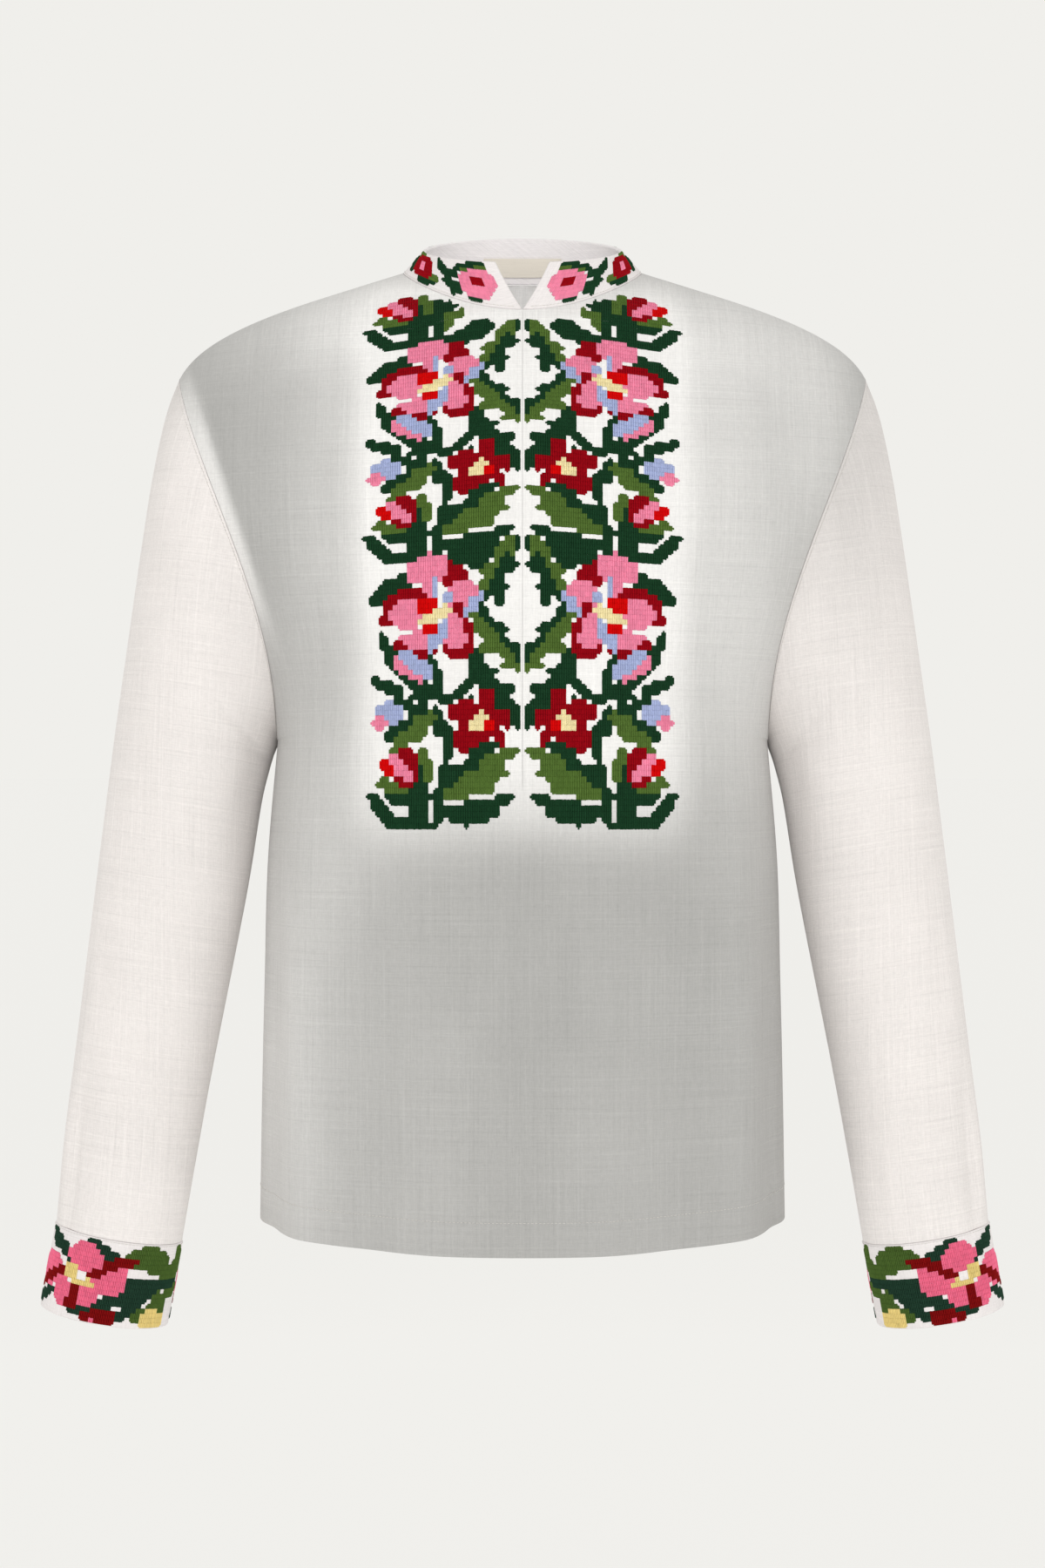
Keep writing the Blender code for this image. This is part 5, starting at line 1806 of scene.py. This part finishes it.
class SHIRT_OT_collar(Build, bpy.types.Operator):
    """Makes the collar"""

    bl_idname = "shirt.collar"
    bl_label = "Collar"

    def build(self, scene):
        sizes = scene.shirt_cloth
        finish = make_linen("collar_linen", sizes.band, sizes.inside, sizes.yarn, sizes.slub)
        rows = []
        for i in range(COLLAR_ROWS + 1):
            share = i / COLLAR_ROWS
            rows.append([collar_point(share, collar_angle(share, a)) for a in neck_angles()])
        piece = make_cloth("collar_cloth", [(rows, False, 1)], COLLAR_WALL, finish,
                           ((middle_line, COLLAR_WALL),), collar_painted_light)
        soften(piece)
        placed(piece, "linen", "collar")


class SHIRT_OT_label(Build, bpy.types.Operator):
    """Makes the bare label inside the neck"""

    bl_idname = "shirt.label"
    bl_label = "Label"

    def build(self, scene):
        sizes = scene.shirt_cloth
        finish = make_label_satin("label_satin", sizes.label)
        rows = []
        for up in (i / LABEL_ROWS for i in range(LABEL_ROWS + 1)):
            share = LABEL_LOW + (LABEL_HIGH - LABEL_LOW) * up
            row = []
            for across in (j / LABEL_COLUMNS for j in range(LABEL_COLUMNS + 1)):
                angle = 180 + LABEL_HALF_ANGLE * (2 * across - 1)
                bulge = LABEL_BULGE * math.sin(math.pi * up) * math.sin(math.pi * across)
                off = COLLAR_WALL + SEAM + LABEL_WALL + (LABEL_LIFT + bulge)
                row.append(collar_point(share, angle) + collar_inward(share, angle) * off)
            rows.append(row)
        piece = make_cloth("label", [(rows, True, 1)], LABEL_WALL, finish)
        placed(piece, "label_cream", "neck_label")


# ---- Stitched pieces ------------------------------------------------------------------------


class SHIRT_OT_bib_embroidery(Build, bpy.types.Operator):
    """Embroiders the two halves of the bib"""

    bl_idname = "shirt.bib_embroidery"
    bl_label = "Bib embroidery"

    def build(self, scene):
        cells = bib_chart()
        face = cloth_face(bpy.data.objects["front_cloth"])
        finish = make_thread()
        for side, name in SIDES:
            seed = BIB_SEED + side
            stitches = embroider(cells, bib_place(face, side), random.Random(seed))
            placed(sew(f"bib_embroidery_{name}", stitches, finish, seed), "embroidery_thread")


class SHIRT_OT_collar_embroidery(Build, bpy.types.Operator):
    """Embroiders the collar"""

    bl_idname = "shirt.collar_embroidery"
    bl_label = "Collar embroidery"

    def build(self, scene):
        cells = collar_chart()
        draw = random.Random(COLLAR_SEED)
        stitches = []

        def point_at(down, angle):
            share = COLLAR_CHART_TOP - COLLAR_CHART_SPAN * down
            return collar_point(share, collar_angle(share, angle))

        half = 180 - COLLAR_START
        for start, turn, facing in ((COLLAR_START, half, -1), (360 - COLLAR_START, -half, 1)):
            place = ring_place(point_at, COLLAR_COLUMNS, COLLAR_CHART_ROWS, start, turn, facing)
            stitches += embroider(cells, place, draw)
        finish = bpy.data.materials["embroidery_thread"]
        placed(sew("collar_embroidery", stitches, finish, COLLAR_SEED), "embroidery_thread")


class SHIRT_OT_cuff_embroidery(Build, bpy.types.Operator):
    """Embroiders both cuffs"""

    bl_idname = "shirt.cuff_embroidery"
    bl_label = "Cuff embroidery"

    def build(self, scene):
        cells = cuff_chart()
        finish = bpy.data.materials["embroidery_thread"]
        for side, name in SIDES:
            def point_at(down, angle):
                point = cuff_point(CUFF_CHART_TOP + CUFF_CHART_SPAN * down, angle)
                return Vector((side * point.x, point.y, point.z))

            place = ring_place(point_at, CUFF_COLUMNS, CUFF_CHART_ROWS, CUFF_START, 360.0, side)
            seed = CUFF_SEED + side
            stitches = embroider(cells, place, random.Random(seed), prefix="cuff_")
            placed(sew(f"cuff_embroidery_{name}", stitches, finish, seed), "embroidery_thread")


class SHIRT_OT_topstitching(Build, bpy.types.Operator):
    """Sews the plain lines along the hem, collar, cuffs and armholes"""

    bl_idname = "shirt.topstitching"
    bl_label = "Topstitching"

    def build(self, scene):
        thread = linear(scene.shirt_embroidery.plain)
        stitches = []
        for points, outs in seam_lines():
            stitches += stitch_along(points, outs, thread)
        finish = bpy.data.materials["embroidery_thread"]
        placed(sew("topstitching", stitches, finish, TOPSTITCH_SEED), "embroidery_thread")


# ---- Add-on ---------------------------------------------------------------------------------

STEPS = (
    SHIRT_OT_stage,
    SHIRT_OT_body,
    SHIRT_OT_facing,
    SHIRT_OT_sleeves,
    SHIRT_OT_cuffs,
    SHIRT_OT_collar,
    SHIRT_OT_label,
    SHIRT_OT_bib_embroidery,
    SHIRT_OT_collar_embroidery,
    SHIRT_OT_cuff_embroidery,
    SHIRT_OT_topstitching,
)
GROUPS = {
    "shirt_cloth": ShirtCloth,
    "shirt_embroidery": ShirtEmbroidery,
    "shirt_stage": ShirtStage,
}


class SHIRT_PT_panel(bpy.types.Panel):
    """Lists the shirt's pieces and sizes"""

    bl_label = "Embroidered shirt"
    bl_idname = "SHIRT_PT_panel"
    bl_space_type = "VIEW_3D"
    bl_region_type = "UI"
    bl_category = "Shirt"

    def draw(self, context):
        for step in STEPS:
            self.layout.operator(step.bl_idname)
        for name, group in GROUPS.items():
            box = self.layout.box()
            for prop in group.__annotations__:
                box.prop(getattr(context.scene, name), prop)


CLASSES = (*GROUPS.values(), *STEPS, SHIRT_PT_panel)


def register():
    for made in CLASSES:
        bpy.utils.register_class(made)
    for name, group in GROUPS.items():
        setattr(bpy.types.Scene, name, PointerProperty(type=group))


def unregister():
    for name in GROUPS:
        delattr(bpy.types.Scene, name)
    for made in reversed(CLASSES):
        bpy.utils.unregister_class(made)


def main():
    register()
    for step in STEPS:
        _, name = step.bl_idname.split(".")
        getattr(bpy.ops.shirt, name)()
    bpy.context.view_layer.update()


if __name__ == "__main__":
    main()
